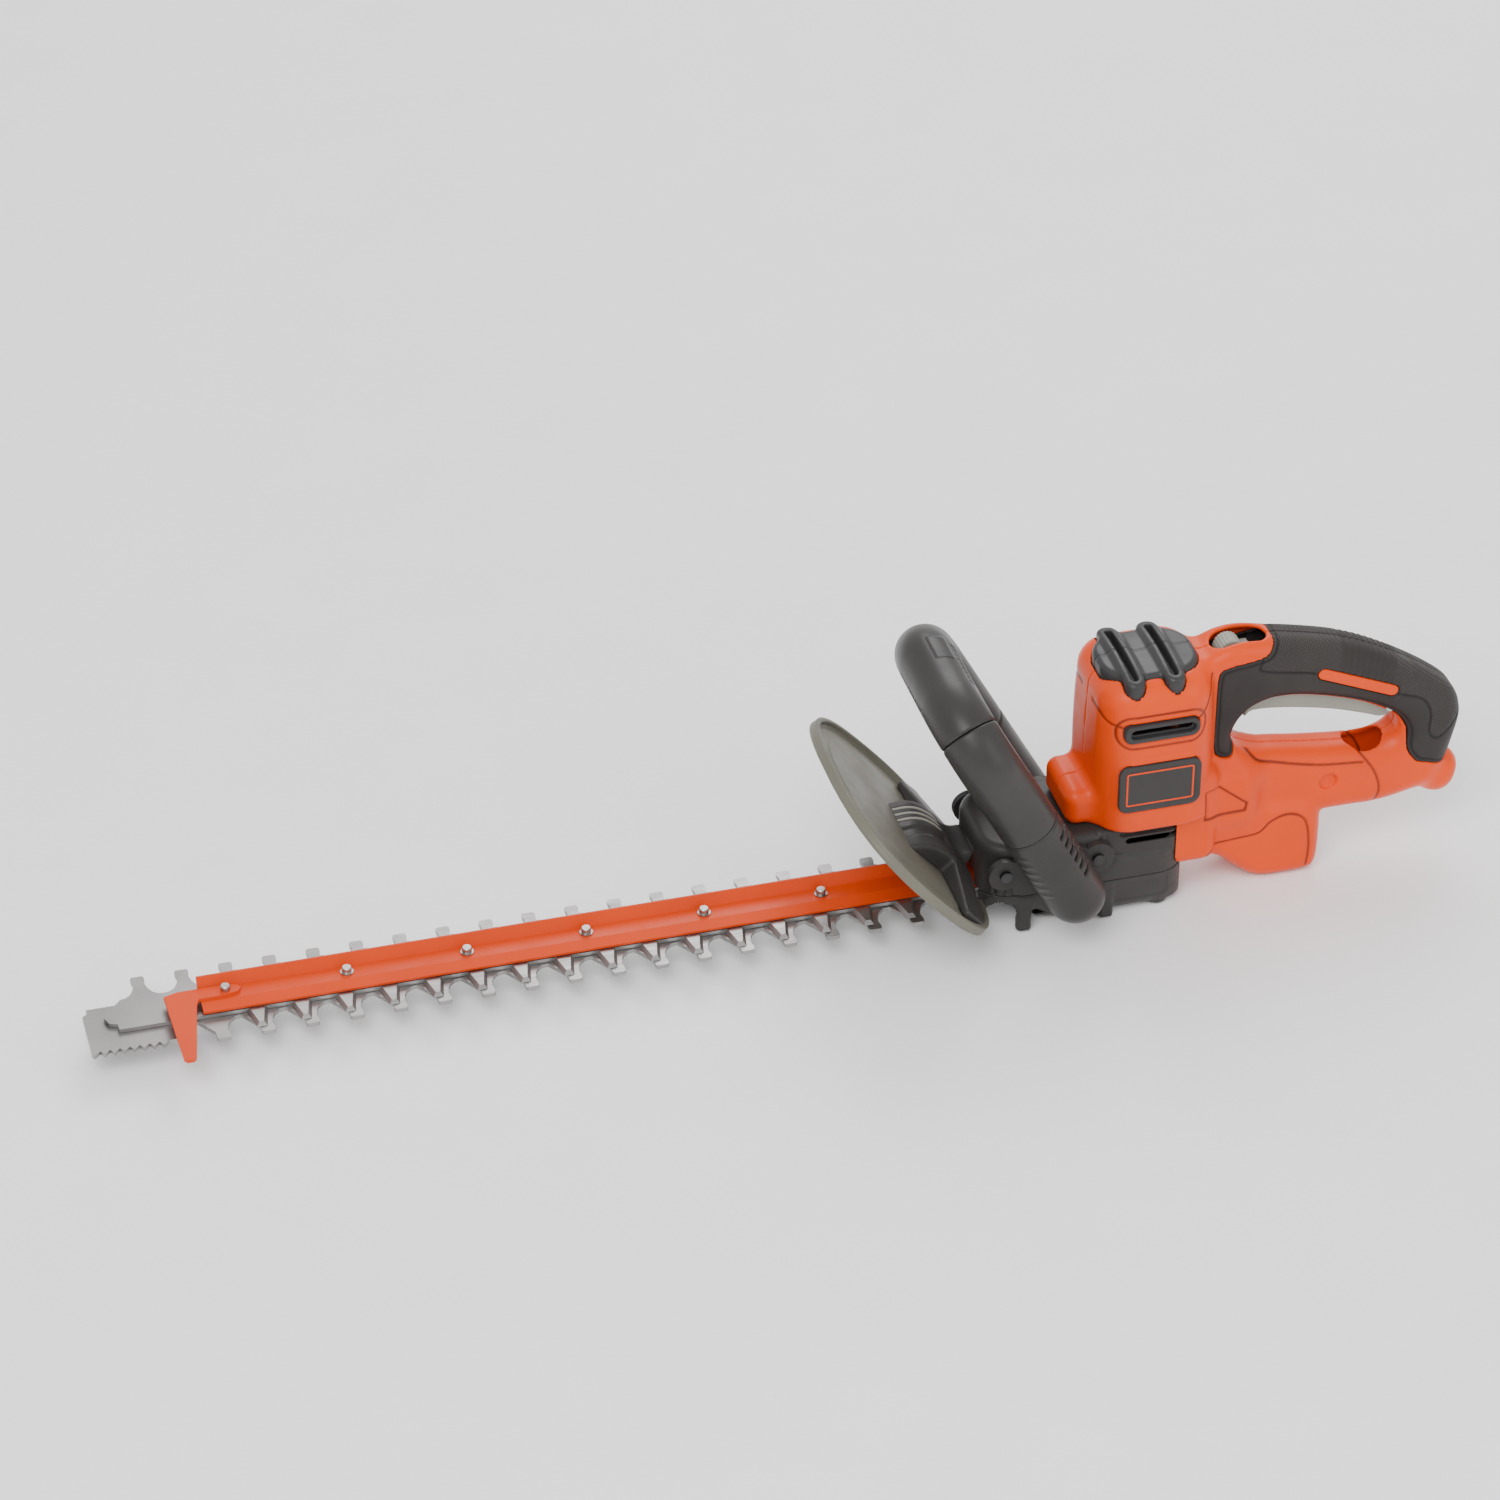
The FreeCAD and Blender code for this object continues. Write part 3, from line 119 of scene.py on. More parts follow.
def field_piece(name, field, low, high, step, body="chassis"):
    """A smooth-shaded piece made from a distance field, riding on a body."""
    axes = [np.arange(a, b + step, step) for a, b in zip(low, high)]
    grid = np.meshgrid(*axes, indexing="ij", sparse=True)
    values = np.broadcast_to(field(*grid), [len(a) for a in axes]).astype(np.float32)
    verts, quads = surface_net(values, [a[0] for a in axes], step)
    mesh = bpy.data.meshes.new(name)
    mesh.from_pydata((verts * MM).tolist(), [], quads.tolist())
    mesh.shade_smooth()
    piece = bpy.data.objects.new(name, mesh)
    bpy.context.scene.collection.objects.link(piece)
    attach(piece, body)
    return piece


def join(a, b, soft):
    """The union of two fields with a fillet of about this size."""
    mix = np.clip(0.5 + 0.5 * (b - a) / soft, 0, 1)
    return b * (1 - mix) + a * mix - soft * mix * (1 - mix)


def carve(a, b, soft=0.01):
    """The first field with the second taken away, its edge softened."""
    return -join(-a, b, soft)


def overlap(a, b, soft=0.01):
    """The space inside both fields."""
    return -join(-a, -b, soft)


def soft_block(x, y, z, centre, half, radius):
    """A box rounded at every edge."""
    qx = np.abs(x - centre[0]) - half[0] + radius
    qy = np.abs(y - centre[1]) - half[1] + radius
    qz = np.abs(z - centre[2]) - half[2] + radius
    outside = np.sqrt(np.maximum(qx, 0) ** 2 + np.maximum(qy, 0) ** 2 + np.maximum(qz, 0) ** 2)
    return outside + np.minimum(np.maximum(np.maximum(qx, qy), qz), 0) - radius


def soft_plan(x, y, centre, half, radius):
    """The distance to a rounded rectangle in a plane."""
    qx = np.abs(x - centre[0]) - half[0] + radius
    qy = np.abs(y - centre[1]) - half[1] + radius
    return np.hypot(np.maximum(qx, 0), np.maximum(qy, 0)) + np.minimum(np.maximum(qx, qy), 0) - radius


def thick(flat, across, half, radius):
    """A flat field given a thickness, with rounded edges."""
    a = flat + radius
    b = np.abs(across) - half + radius
    return np.hypot(np.maximum(a, 0), np.maximum(b, 0)) + np.minimum(np.maximum(a, b), 0) - radius


def smooth_loop(points, per_side=6):
    """A closed smooth curve through a few points."""
    points = np.array(points, float)
    loop = []
    count = len(points)
    for i in range(count):
        p0, p1, p2, p3 = (points[(i + k) % count] for k in (-1, 0, 1, 2))
        for t in np.arange(per_side) / per_side:
            loop.append(0.5 * (2 * p1 + (p2 - p0) * t + (2 * p0 - 5 * p1 + 4 * p2 - p3) * t * t
                               + (3 * p1 - p0 - 3 * p2 + p3) * t ** 3))
    return np.array(loop)


def inside_loop(x, z, loop):
    """The distance to a closed line of points in a plane, negative inside."""
    best = np.full(np.broadcast(x, z).shape, 1e9)
    odd = np.zeros(best.shape, bool)
    for a, b in zip(loop, np.roll(loop, -1, axis=0)):
        ex, ez = b - a
        t = np.clip(((x - a[0]) * ex + (z - a[1]) * ez) / (ex * ex + ez * ez + 1e-9), 0, 1)
        best = np.minimum(best, (x - a[0] - t * ex) ** 2 + (z - a[1] - t * ez) ** 2)
        if abs(ez) > 1e-9:
            odd ^= ((a[1] > z) != (b[1] > z)) & (x < a[0] + ex * (z - a[1]) / ez)
    return np.where(odd, -1, 1) * np.sqrt(best)


def tube_between(x, y, z, start, end, radius):
    """A round-ended rod between two points."""
    start = np.array(start, float)
    along = np.array(end, float) - start
    t = ((x - start[0]) * along[0] + (y - start[1]) * along[1] + (z - start[2]) * along[2]) / along.dot(along)
    t = np.clip(t, 0, 1)
    return np.sqrt((x - start[0] - t * along[0]) ** 2 + (y - start[1] - t * along[1]) ** 2
                   + (z - start[2] - t * along[2]) ** 2) - radius


# ---------------------------------------------------------------- materials

def new_material(name):
    """An empty node material with its shader."""
    material = bpy.data.materials.new(name)
    material.use_nodes = True
    tree = material.node_tree
    return material, tree, tree.nodes["Principled BSDF"]


def noise(tree, scale, detail=3.0, rough=0.5, stretch=None):
    """A noise texture in object space, stretched if wanted."""
    coords = tree.nodes.new("ShaderNodeTexCoord")
    texture = tree.nodes.new("ShaderNodeTexNoise")
    texture.inputs["Scale"].default_value = scale
    texture.inputs["Detail"].default_value = detail
    texture.inputs["Roughness"].default_value = rough
    source = coords.outputs["Object"]
    if stretch:
        mapping = tree.nodes.new("ShaderNodeMapping")
        mapping.inputs["Scale"].default_value = stretch
        tree.links.new(source, mapping.inputs["Vector"])
        source = mapping.outputs["Vector"]
    tree.links.new(source, texture.inputs["Vector"])
    return texture.outputs["Fac"]


def ramp(tree, source, low, high):
    """A colour or grey value that runs between two ends."""
    node = tree.nodes.new("ShaderNodeValToRGB")
    for end, place, value in zip(node.color_ramp.elements, (0.35, 0.65), (low, high)):
        end.position = place
        end.color = (*value, 1) if hasattr(value, "__len__") else (value, value, value, 1)
    tree.links.new(source, node.inputs["Fac"])
    return node.outputs["Color"]


def bump(tree, shader, source, depth, strength=1.0):
    """Small relief from a grey value, in metres."""
    node = tree.nodes.new("ShaderNodeBump")
    node.inputs["Distance"].default_value = depth
    node.inputs["Strength"].default_value = strength
    tree.links.new(source, node.inputs["Height"])
    tree.links.new(node.outputs["Normal"], shader.inputs["Normal"])


def moulded(name, dark, light, rough=(0.32, 0.44), grain=2600, depth=0.00004):
    """A moulded plastic: faint cloudy colour, fine spark-eroded grain and uneven gloss."""
    material, tree, shader = new_material(name)
    tree.links.new(ramp(tree, noise(tree, 14, 4), dark, light), shader.inputs["Base Color"])
    tree.links.new(ramp(tree, noise(tree, 45, 4), rough[0], rough[1]), shader.inputs["Roughness"])
    bump(tree, shader, noise(tree, grain, 2), depth, 0.5)
    shader.inputs["Specular IOR Level"].default_value = 0.22
    return material


def metal(name, dark, light, rough, brushed=None, depth=0.00002):
    """Bare metal with brushing or a fine ground grain, and uneven gloss."""
    material, tree, shader = new_material(name)
    shader.inputs["Metallic"].default_value = 1.0
    streaks = noise(tree, 900, 3, 0.6, brushed or (1, 1, 1))
    tree.links.new(ramp(tree, noise(tree, 22, 5), dark, light), shader.inputs["Base Color"])
    tree.links.new(ramp(tree, streaks, rough[0], rough[1]), shader.inputs["Roughness"])
    bump(tree, shader, streaks, depth, 0.4)
    return material


ORANGE_TONES = ((0.68, 0.050, 0.0008), (0.74, 0.058, 0.0010))
PAINT_TONES = ((0.58, 0.042, 0.0007), (0.64, 0.049, 0.0009))
CHARCOAL_TONES = ((0.030, 0.028, 0.027), (0.040, 0.038, 0.036))
ORANGE = moulded("orange_plastic", *ORANGE_TONES, (0.32, 0.42))
CHARCOAL = moulded("charcoal_plastic", *CHARCOAL_TONES, (0.36, 0.48), 2200, 0.00006)
CAP_GREY = moulded("cap_plastic", (0.030, 0.029, 0.030), (0.040, 0.039, 0.040), (0.30, 0.42))
GUARD_GREY = moulded("guard_plastic", (0.120, 0.114, 0.090), (0.140, 0.133, 0.105), (0.38, 0.5))
LIGHT_GREY = moulded("light_grey_plastic", (0.24, 0.24, 0.205), (0.28, 0.28, 0.24), (0.35, 0.46))
BLACK = moulded("black_plastic", (0.012, 0.012, 0.012), (0.02, 0.02, 0.02), (0.35, 0.5))
PLATE = moulded("badge_plastic", (0.034, 0.032, 0.031), (0.042, 0.040, 0.039), (0.30, 0.40))
BLADE = metal("blade_steel", (0.27, 0.262, 0.258), (0.34, 0.33, 0.325), (0.32, 0.48), (0.06, 1, 1))
PLATED = metal("plated_steel", (0.34, 0.32, 0.31), (0.42, 0.40, 0.38), (0.28, 0.42))
GEAR = metal("gear_steel", (0.36, 0.36, 0.36), (0.45, 0.45, 0.45), (0.25, 0.4))
IRON = metal("stacked_iron", (0.16, 0.16, 0.17), (0.24, 0.24, 0.25), (0.4, 0.6), (1, 1, 14), 0.00008)
COPPER = metal("copper_wire", (0.60, 0.24, 0.12), (0.78, 0.36, 0.18), (0.25, 0.4), (1, 1, 8), 0.0001)
BRONZE = metal("bronze", (0.50, 0.34, 0.14), (0.62, 0.43, 0.18), (0.3, 0.45))
PAINT = moulded("bar_powder_coat", *PAINT_TONES, (0.34, 0.46), 1500, 0.00005)


def mark(tree, name):
    """A number stored on the mesh's vertices."""
    node = tree.nodes.new("ShaderNodeAttribute")
    node.attribute_name = name
    return node.outputs["Fac"]


def mix(tree, share, one, two):
    """A colour between two others."""
    node = tree.nodes.new("ShaderNodeMix")
    node.data_type = "RGBA"
    tree.links.new(share, node.inputs["Factor"])
    for socket, value in ((node.inputs["A"], one), (node.inputs["B"], two)):
        if hasattr(value, "links"):
            tree.links.new(value, socket)
        else:
            socket.default_value = (*value, 1)
    return node.outputs["Result"]


def shade_grooves(material, dark):
    """Painted shade for a moulded material: its colour darkens along the grooves of the parting lines, where
    shade falls.
    """
    tree = material.node_tree
    shader = tree.nodes["Principled BSDF"]
    colour = shader.inputs["Base Color"].links[0].from_socket
    # Painted shade: the colour blends towards the dark shade colour where the line mark on the vertices is
    # high.
    tree.links.new(mix(tree, mark(tree, "line"), colour, dark), shader.inputs["Base Color"])
    return material


def rubber():
    """Soft grip rubber: smooth bands, a fine woven grain where the mesh is marked, and painted shade
    darkening its grooves.
    """
    tones = ((0.022, 0.019, 0.018), (0.032, 0.028, 0.026))
    material = moulded("grip_rubber", *tones, (0.5, 0.62), 2000, 0.00005)
    tree = material.node_tree
    shader = tree.nodes["Principled BSDF"]
    coords = tree.nodes.new("ShaderNodeTexCoord")
    weave = None
    for turn in (0.9, -0.9):
        mapping = tree.nodes.new("ShaderNodeMapping")
        mapping.inputs["Rotation"].default_value = (0, turn, 0)
        wave = tree.nodes.new("ShaderNodeTexWave")
        wave.inputs["Scale"].default_value = 260
        tree.links.new(coords.outputs["Object"], mapping.inputs["Vector"])
        tree.links.new(mapping.outputs["Vector"], wave.inputs["Vector"])
        if weave is None:
            weave = wave.outputs["Fac"]
            continue
        both = tree.nodes.new("ShaderNodeMath")
        both.operation = "MULTIPLY"
        tree.links.new(weave, both.inputs[0])
        tree.links.new(wave.outputs["Fac"], both.inputs[1])
        weave = both.outputs[0]
    masked = tree.nodes.new("ShaderNodeMath")
    masked.operation = "MULTIPLY"
    tree.links.new(weave, masked.inputs[0])
    tree.links.new(mark(tree, "grain"), masked.inputs[1])
    bump(tree, shader, masked.outputs[0], 0.0004, 1.0)
    colour = shader.inputs["Base Color"].links[0].from_socket
    tree.links.new(mix(tree, masked.outputs[0], colour, (0.060, 0.054, 0.050)), shader.inputs["Base Color"])
    # Painted shade in the grip's grooves, at the bead and round the textured zone.
    return shade_grooves(material, (0.008, 0.008, 0.008))


# The housing orange, with painted shade in its parting-line grooves.
ORANGE_GROOVE_SHADED = shade_grooves(moulded("housing_plastic", *ORANGE_TONES, (0.32, 0.42)), (0.10, 0.012, 0.003))
RUBBER = rubber()
DARK_SCREW = metal("blackened_screw", (0.05, 0.05, 0.05), (0.08, 0.08, 0.08), (0.4, 0.55))
SATIN = moulded("satin_plastic", *CHARCOAL_TONES, (0.32, 0.42), 2400, 0.00004)

FINISH_OF_SLOT = {
    "orange_shell": ORANGE, "dark_shell": CHARCOAL, "grip_rubber": CHARCOAL,
    "guard_plastic": GUARD_GREY, "light_grey": LIGHT_GREY, "blade_steel": BLADE,
    "bar_paint": PAINT, "plated_steel": PLATED, "black_plate": PLATE,
    "gear_steel": GEAR, "bearing_steel": GEAR, "copper": COPPER,
    "iron": IRON, "bronze": BRONZE, "inner_plastic": BLACK, "carbon": BLACK,
}


def dress_nodes():
    """Gives every CAD node the finish of its slot, and dark screws to the side plates."""
    slot_of = {part["node"]: part["material_slot"] for part in frame["record"]["subparts"]}
    for name, obj in frame["nodes"].items():
        obj.data.materials.clear()
        finish_of_node = DARK_SCREW if name == "bail_screws" else FINISH_OF_SLOT[slot_of[name]]
        obj.data.materials.append(finish_of_node)


dress_nodes()


# ---------------------------------------------------------------- outlines shared by the shells

HANDLE_OUTSIDE = smooth_loop([(58, 146), (78, 158), (98, 164.5), (120, 162.5), (145, 157), (165, 151),
                              (183, 143), (202, 132), (221, 119), (234, 107), (239, 92), (236, 74),
                              (231, 57), (223, 44), (206, 38), (186, 35), (150, 34.5), (110, 31),
                              (74, 26), (56, 40), (54, 90)])
HAND_GAP = smooth_loop([(96, 99), (100, 112), (112, 120), (130, 121), (152, 116.5), (176, 108),
                        (195, 96.5), (200, 87), (194, 79.5), (180, 77), (150, 80), (128, 83.5),
                        (106, 87.5)])
GRIP_ZONE = smooth_loop([(123, 185), (122, 168), (115, 157), (104, 154), (90, 152), (84, 147),
                         (83, 122), (83, 98), (87, 91), (94, 90), (97, 96), (98, 104), (103, 114),
                         (114, 122.5), (130, 123.8), (152, 119.2), (177, 110.6), (196, 99.5), (204, 88),
                         (204, 76), (208, 68), (216, 63), (250, 60), (262, 120), (250, 180), (190, 196)])
TEXTURED_ZONE = smooth_loop([(118, 175), (110, 153), (112, 146), (144, 139), (170, 128.5), (197, 115),
                             (211, 109), (217, 98), (217, 84), (224, 80), (238, 96), (240, 112),
                             (215, 140), (170, 175)])
INLET_OUTSIDE = smooth_loop([(66, 25), (86, 21), (98, 12), (108, 4), (118, 0.5), (132, 0), (145, 0.8),
                             (151, 6), (152.4, 24), (151, 40), (140, 49), (110, 53), (70, 56)])
TRIGGER_ROOM = np.array([(101, 96), (103, 150), (118, 150), (145, 146), (172, 138), (198, 122),
                         (203, 100), (200, 84)], float)
PANEL = np.array([(74, 78), (84, 77), (102, 62), (101, 57), (75, 57)], float)
STRIP_ENDS = ((148.5, 137.5), (192, 118.5))
STRIP_RADIUS = 3.6
GRIP_HALF_WIDTH = 16.5
HOOD_HALF_WIDTH = 38.0
HOOD_TOP = 160.0
HOOD_BOTTOM = 62.0
CASE_HALF_WIDTH = 33
CASE_SCREW_PLACES = ((-34, 29.4), (16, 29.4), (50, 23.4))
CORD_TUBE_ENDS = ((196, 0, 65), (229, 0, 46.4))
CORD_BORE_ENDS = ((180, 0, 74.3), (248, 0, 35.6))
WALL = 2.8
SEAM = 0.16
RIB_PITCH = 4.3
RIBBED_STRETCH = (82.5, 121.0)
BEAD_INSET = 2.4


def line_distance(x, z, points):
    """The distance in a plane to an open run of lines."""
    best = np.full(np.broadcast(x, z).shape, 1e9)
    for a, b in zip(points[:-1], points[1:]):
        ex, ez = b[0] - a[0], b[1] - a[1]
        t = np.clip(((x - a[0]) * ex + (z - a[1]) * ez) / (ex * ex + ez * ez), 0, 1)
        best = np.minimum(best, np.hypot(x - a[0] - t * ex, z - a[1] - t * ez))
    return best


def curve(points, per_side=6):
    """An open smooth run through a few points."""
    ends = [2 * np.array(points[0]) - points[1]] + [np.array(p, float) for p in points]
    ends.append(2 * np.array(points[-1]) - points[-2])
    run = []
    for p0, p1, p2, p3 in zip(ends, ends[1:], ends[2:], ends[3:]):
        for t in np.arange(per_side) / per_side:
            run.append(0.5 * (2 * p1 + (p2 - p0) * t + (2 * p0 - 5 * p1 + 4 * p2 - p3) * t * t
                              + (3 * p1 - p0 - 3 * p2 + p3) * t ** 3))
    return run + [ends[-2]]


def handle_ring(x, y, z, inset=0.0):
    """The rear handle and the arm under it, rounded all round."""
    ring = np.maximum(inside_loop(x, z, HANDLE_OUTSIDE), -inside_loop(x, z, HAND_GAP))
    round_over = 12.5 - 5.0 * np.clip((120 - x) / 30, 0, 1)
    flat = ring + inset + round_over
    side = np.abs(y) - GRIP_HALF_WIDTH + inset + round_over
    outside = np.hypot(np.maximum(flat, 0), np.maximum(side, 0))
    return outside + np.minimum(np.maximum(flat, side), 0) - round_over


def hood(x, y, z):
    """The upright motor hood, narrower towards its top, with the lug low on its front."""
    lean = np.clip((z - 100) / 60, 0, 1)
    plan = soft_plan(x, y, (44.5, 0), (35.5, HOOD_HALF_WIDTH), 21) + 2.4 * lean ** 2
    body = thick(plan, z - 100, HOOD_TOP - 100, 15)
    body = overlap(body, HOOD_BOTTOM - z, 3.5)
    lug = soft_block(x, y, z, (6, 0, 73), (13, 23, 11.5), 7)
    return join(body, lug, 6)


def gearcase_space(x, y, z, grow=0.0):
    """The outside of the gearcase."""
    plan = soft_plan(x, y, (3, 0), (63 + grow, CASE_HALF_WIDTH + grow), 20)
    return thick(plan, z - 31, 31 + grow, 6)


def pill(x, z, ends, radius):
    """A straight slot shape with round ends in a plane."""
    return line_distance(x, z, ends) - radius


BADGE_BROW_PLAN = ((43, 95), (24, 15.5), 6.0)
BADGE_SEAT_PLAN = ((43, 94), (25.3, 16.3), 6.3)
BADGE_PLAN = ((43, 94), (24.9, 15.9), 6)
VENT_PLAN = ((43.5, 132), (22.6, 6.2), 5.4)
VENT_SEAT_PLAN = ((43, 132), (23.2, 6.2), 5.6)
SIDE_LINES = [
    curve([(9, 143), (13, 137.5), (21.0, 135.4)]),
    curve([(65.5, 135.5), (71, 140), (75, 147), (79, 152)]),
    curve([(175, 76), (184, 63), (188, 50), (186, 40)]),
    curve([(104, 90), (112, 82.5), (126, 78), (150, 72.5), (177, 69.5)]),
    curve([(76, 24), (80, 32), (98, 34), (112, 35.5), (119, 42), (128, 45), (137, 43), (142, 36),
           (144, 20), (143, 6)]),
]


def side_grooves(x, z):
    """How close a point is to a parting line drawn on the side of the housing."""
    best = np.abs(soft_plan(x, z, *VENT_PLAN) - 4.2)
    for run in SIDE_LINES:
        best = np.minimum(best, line_distance(x, z, run))
    return np.minimum(best, np.abs(inside_loop(x, z, PANEL)))


def housing_whole(x, y, z):
    """The outside of both housing halves with everything cut that both share."""
    s = np.abs(y)
    ring = handle_ring(x, y, z)
    root = soft_block(x, y, z, (86, 0, 62), (26, 27, 22), 14)
    shape = join(hood(x, y, z), ring, 9)
    shape = join(shape, root, 12)
    inlet = thick(inside_loop(x, z, INLET_OUTSIDE), y, 22, 9)
    shape = join(shape, inlet, 5)
    skirt = soft_block(x, y, z, (67, 0, 58), (17, 30, 32), 8)
    shape = join(shape, skirt, 3)
    shape = join(shape, tube_between(x, y, z, *CORD_TUBE_ENDS, 14), 4)
    shape = np.where(x < 60, shape, np.maximum(shape, s - HOOD_HALF_WIDTH))
    brow = np.clip(1 - np.maximum(soft_plan(x, z, *BADGE_BROW_PLAN), 0) / 4.0, 0, 1)
    return shape - 0.5 * brow * (s > 30)


def housing_field(side):
    """One housing half, hollow, with its openings, recesses and parting lines."""
    def field(x, y, z):
        s = np.abs(y)
        whole = housing_whole(x, y, z)
        shape = whole + 0.55 * np.exp(-(side_grooves(x, z) / 0.75) ** 2) * (s > 8)
        panel = inside_loop(x, z, PANEL)
        shape = shape + 1.1 * np.clip(0.5 - panel / 1.2, 0, 1) * (s > 12)
        shape = np.maximum(shape, -(whole + WALL))
        shape = carve(shape, tube_between(x, y, z, *CORD_BORE_ENDS, 10.8), 1.2)
        plug_room = soft_block(x, y, z, (150, 0, 25), (33, 15, 17), 9)
        shape = carve(shape, plug_room, 0.6)
        shape = carve(shape, thick(inside_loop(x, z, TRIGGER_ROOM), y, 8.0, 0.5), 0.5)
        slider_recess = thick(soft_plan(x, y, (100, 0), (16.5, 8.5), 8), z - 164, 12, 0.5)
        shape = carve(shape, slider_recess, 1.6)
        shape = carve(shape, grip_space(x, y, z, -0.25), 0.3)
        shape = np.maximum(shape, -gearcase_space(x, y, z, 0.3))
        badge_seat = np.maximum(soft_plan(x, z, *BADGE_SEAT_PLAN), 36.4 - s)
        shape = np.maximum(shape, -badge_seat)
        vent_seat = np.maximum(soft_plan(x, z, *VENT_SEAT_PLAN), 34.4 - s)
        shape = np.maximum(shape, -vent_seat)
        shape = np.maximum(shape, -(cap_body(x, y, z) - 0.25))
        dimple = np.hypot(x - 156, z - 60) - 5.2 + 9 * np.maximum(14.5 - s, 0)
        shape = carve(shape, dimple, 1.5)
        return np.maximum(shape, SEAM - side * y)
    return field


def grip_space(x, y, z, grow=0.0):
    """The room that the rubber grips fill."""
    zone = inside_loop(x, z, GRIP_ZONE) + grow
    return np.maximum(zone, -tube_between(x, y, z, *CORD_TUBE_ENDS, 14.3))


def along_grip(x, z):
    """How far a point is along the sloping top of the grip."""
    return x * 0.905 - z * 0.42


def grip_field(side):
    """One rubber grip with its textured top zone, its ribs and the bead round its edge."""
    def field(x, y, z):
        zone = inside_loop(x, z, GRIP_ZONE)
        top_zone = inside_loop(x, z, TEXTURED_ZONE)
        along = along_grip(x, z)
        ribs = 0.62 * (0.5 - 0.5 * np.cos((along - 84.0) * 2 * math.pi / RIB_PITCH))
        inside_top = np.clip(-top_zone / 1.5, 0, 1)
        rib_start, rib_end = RIBBED_STRETCH
        faded = np.clip((along - rib_start) / 1.5, 0, 1) * np.clip((rib_end - along) / 1.5, 0, 1)
        shape = handle_ring(x, y, z) + ribs * inside_top * faded
        shape = shape + 0.5 * np.exp(-(top_zone / 0.7) ** 2)
        strip = pill(x, z, STRIP_ENDS, STRIP_RADIUS)
        shape = shape - 0.7 * np.exp(-((strip - 1.9) / 1.2) ** 2) * (np.abs(y) > 6)
        bead = np.abs(zone + BEAD_INSET)
        shape = shape + 0.5 * np.exp(-(bead / 0.7) ** 2) * (np.abs(y) > 3)
        shape = overlap(shape, grip_space(x, y, z, 0.15), 0.8)
        shape = np.maximum(shape, -handle_ring(x, y, z, 2.4))
        shape = np.maximum(shape, -np.maximum(strip - 0.25, 14.2 - np.abs(y)))
        shape = np.maximum(shape, -tube_between(x, y, z, *CORD_BORE_ENDS, 11.0))
        return np.maximum(shape, SEAM - side * y)
    return field


def strip_field(side):
    """The orange pill let into the side of a grip."""
    def field(x, y, z):
        flat = pill(x, z, STRIP_ENDS, STRIP_RADIUS - 0.1)
        surface = handle_ring(x, y, z)
        dome = overlap(surface - 0.25, -(surface + 2.2), 0.3)
        return overlap(overlap(flat, dome, 0.7), 3 - side * y, 0.2)
    return field


# ---------------------------------------------------------------- cap, vents, badges, controls

RIDGE_PLACES = (29.0, 53.0)
BADGE_MIDDLE = 37.6
BORDER_INSET = 5.0


def cap_body(x, y, z):
    """The dark cap, a long oval dome with two ridges across it that fold down over the sides."""
    plan = soft_plan(x, y, (44, 0), (29.5, 25), 20)
    shape = thick(plan, z - (HOOD_TOP - 6), 8.6, 4) + 0.0015 * y ** 2
    for place in RIDGE_PLACES:
        bow = z - 0.0032 * (30 ** 2 - y ** 2)
        ridge = thick(soft_plan(x, y, (place, -1.5), (6.1, 31.5), 6.0), bow - (HOOD_TOP - 6.8), 9.2, 2.6)
        shape = join(shape, ridge, 3.0)
    return shape


def cap_field(x, y, z):
    """The cap with its slots and the parting line across it."""
    shape = cap_body(x, y, z)
    for place in RIDGE_PLACES:
        slot = soft_plan(x, y, (place, -2), (2.1, 26), 2.1)
        shape = carve(shape, np.maximum(slot, HOOD_TOP - 2.5 - z), 0.9)
    return shape + 0.4 * np.exp(-((y - 2) / 0.6) ** 2)


def vent_field(side):
    """The dark frame of a side vent with its long slot."""
    def field(x, y, z):
        s = side * y
        outer = thick(soft_plan(x, z, (43, 132), (22.8, 5.9), 5.4), s - 36.5, 2.7, 1.1)
        inner = soft_plan(x, z, (43.6, 132.2), (19.6, 3.1), 3.0)
        shape = carve(outer, np.maximum(inner, 35.4 - s), 0.9)
        right_through = soft_plan(x, z, (43.6, 132.2), (18.6, 2.2), 2.1)
        return np.maximum(shape, -np.maximum(right_through, 0))
    return field


def badge_field(side):
    """A blank plate with a bevelled rim and a raised border line."""
    def field(x, y, z):
        s = side * y
        plan = soft_plan(x, z, *BADGE_PLAN)
        plate = thick(plan, s - BADGE_MIDDLE, 1.55, 0.9)
        sunk = np.clip(-(plan + 3.0) / 0.8, 0, 1) * 0.7
        border = 0.55 * np.exp(-((plan + BORDER_INSET) / 0.8) ** 2)
        return plate + np.where(s > BADGE_MIDDLE, sunk - border, 0)
    return field


def badge_border_field(side):
    """The thin orange line round a badge."""
    def field(x, y, z):
        plan = soft_plan(x, z, *BADGE_PLAN)
        return thick(np.abs(plan + BORDER_INSET) - 0.6, side * y - 38.35, 0.62, 0.15)
    return field


TRIGGER_OUTLINE = smooth_loop([(104.8, 109.2), (110, 112.4), (129, 110.8), (158, 104.6), (180, 97.2),
                               (190, 93.6), (196.8, 96.6), (197.6, 108), (190, 111), (158, 119.6),
                               (130, 125.6), (106.4, 127.4)], 4)


def trigger_field(x, y, z):
    """The trigger lever with a rounded finger edge and a groove along each side."""
    side = inside_loop(x, z, TRIGGER_OUTLINE)
    shape = thick(side, y, 7.0, 2.4)
    shape = shape + 0.4 * np.exp(-((side + 3.4) / 0.7) ** 2)
    pin_hole = np.hypot(x - 193, z - 103.5) - 2.55
    return np.maximum(shape, -pin_hole)


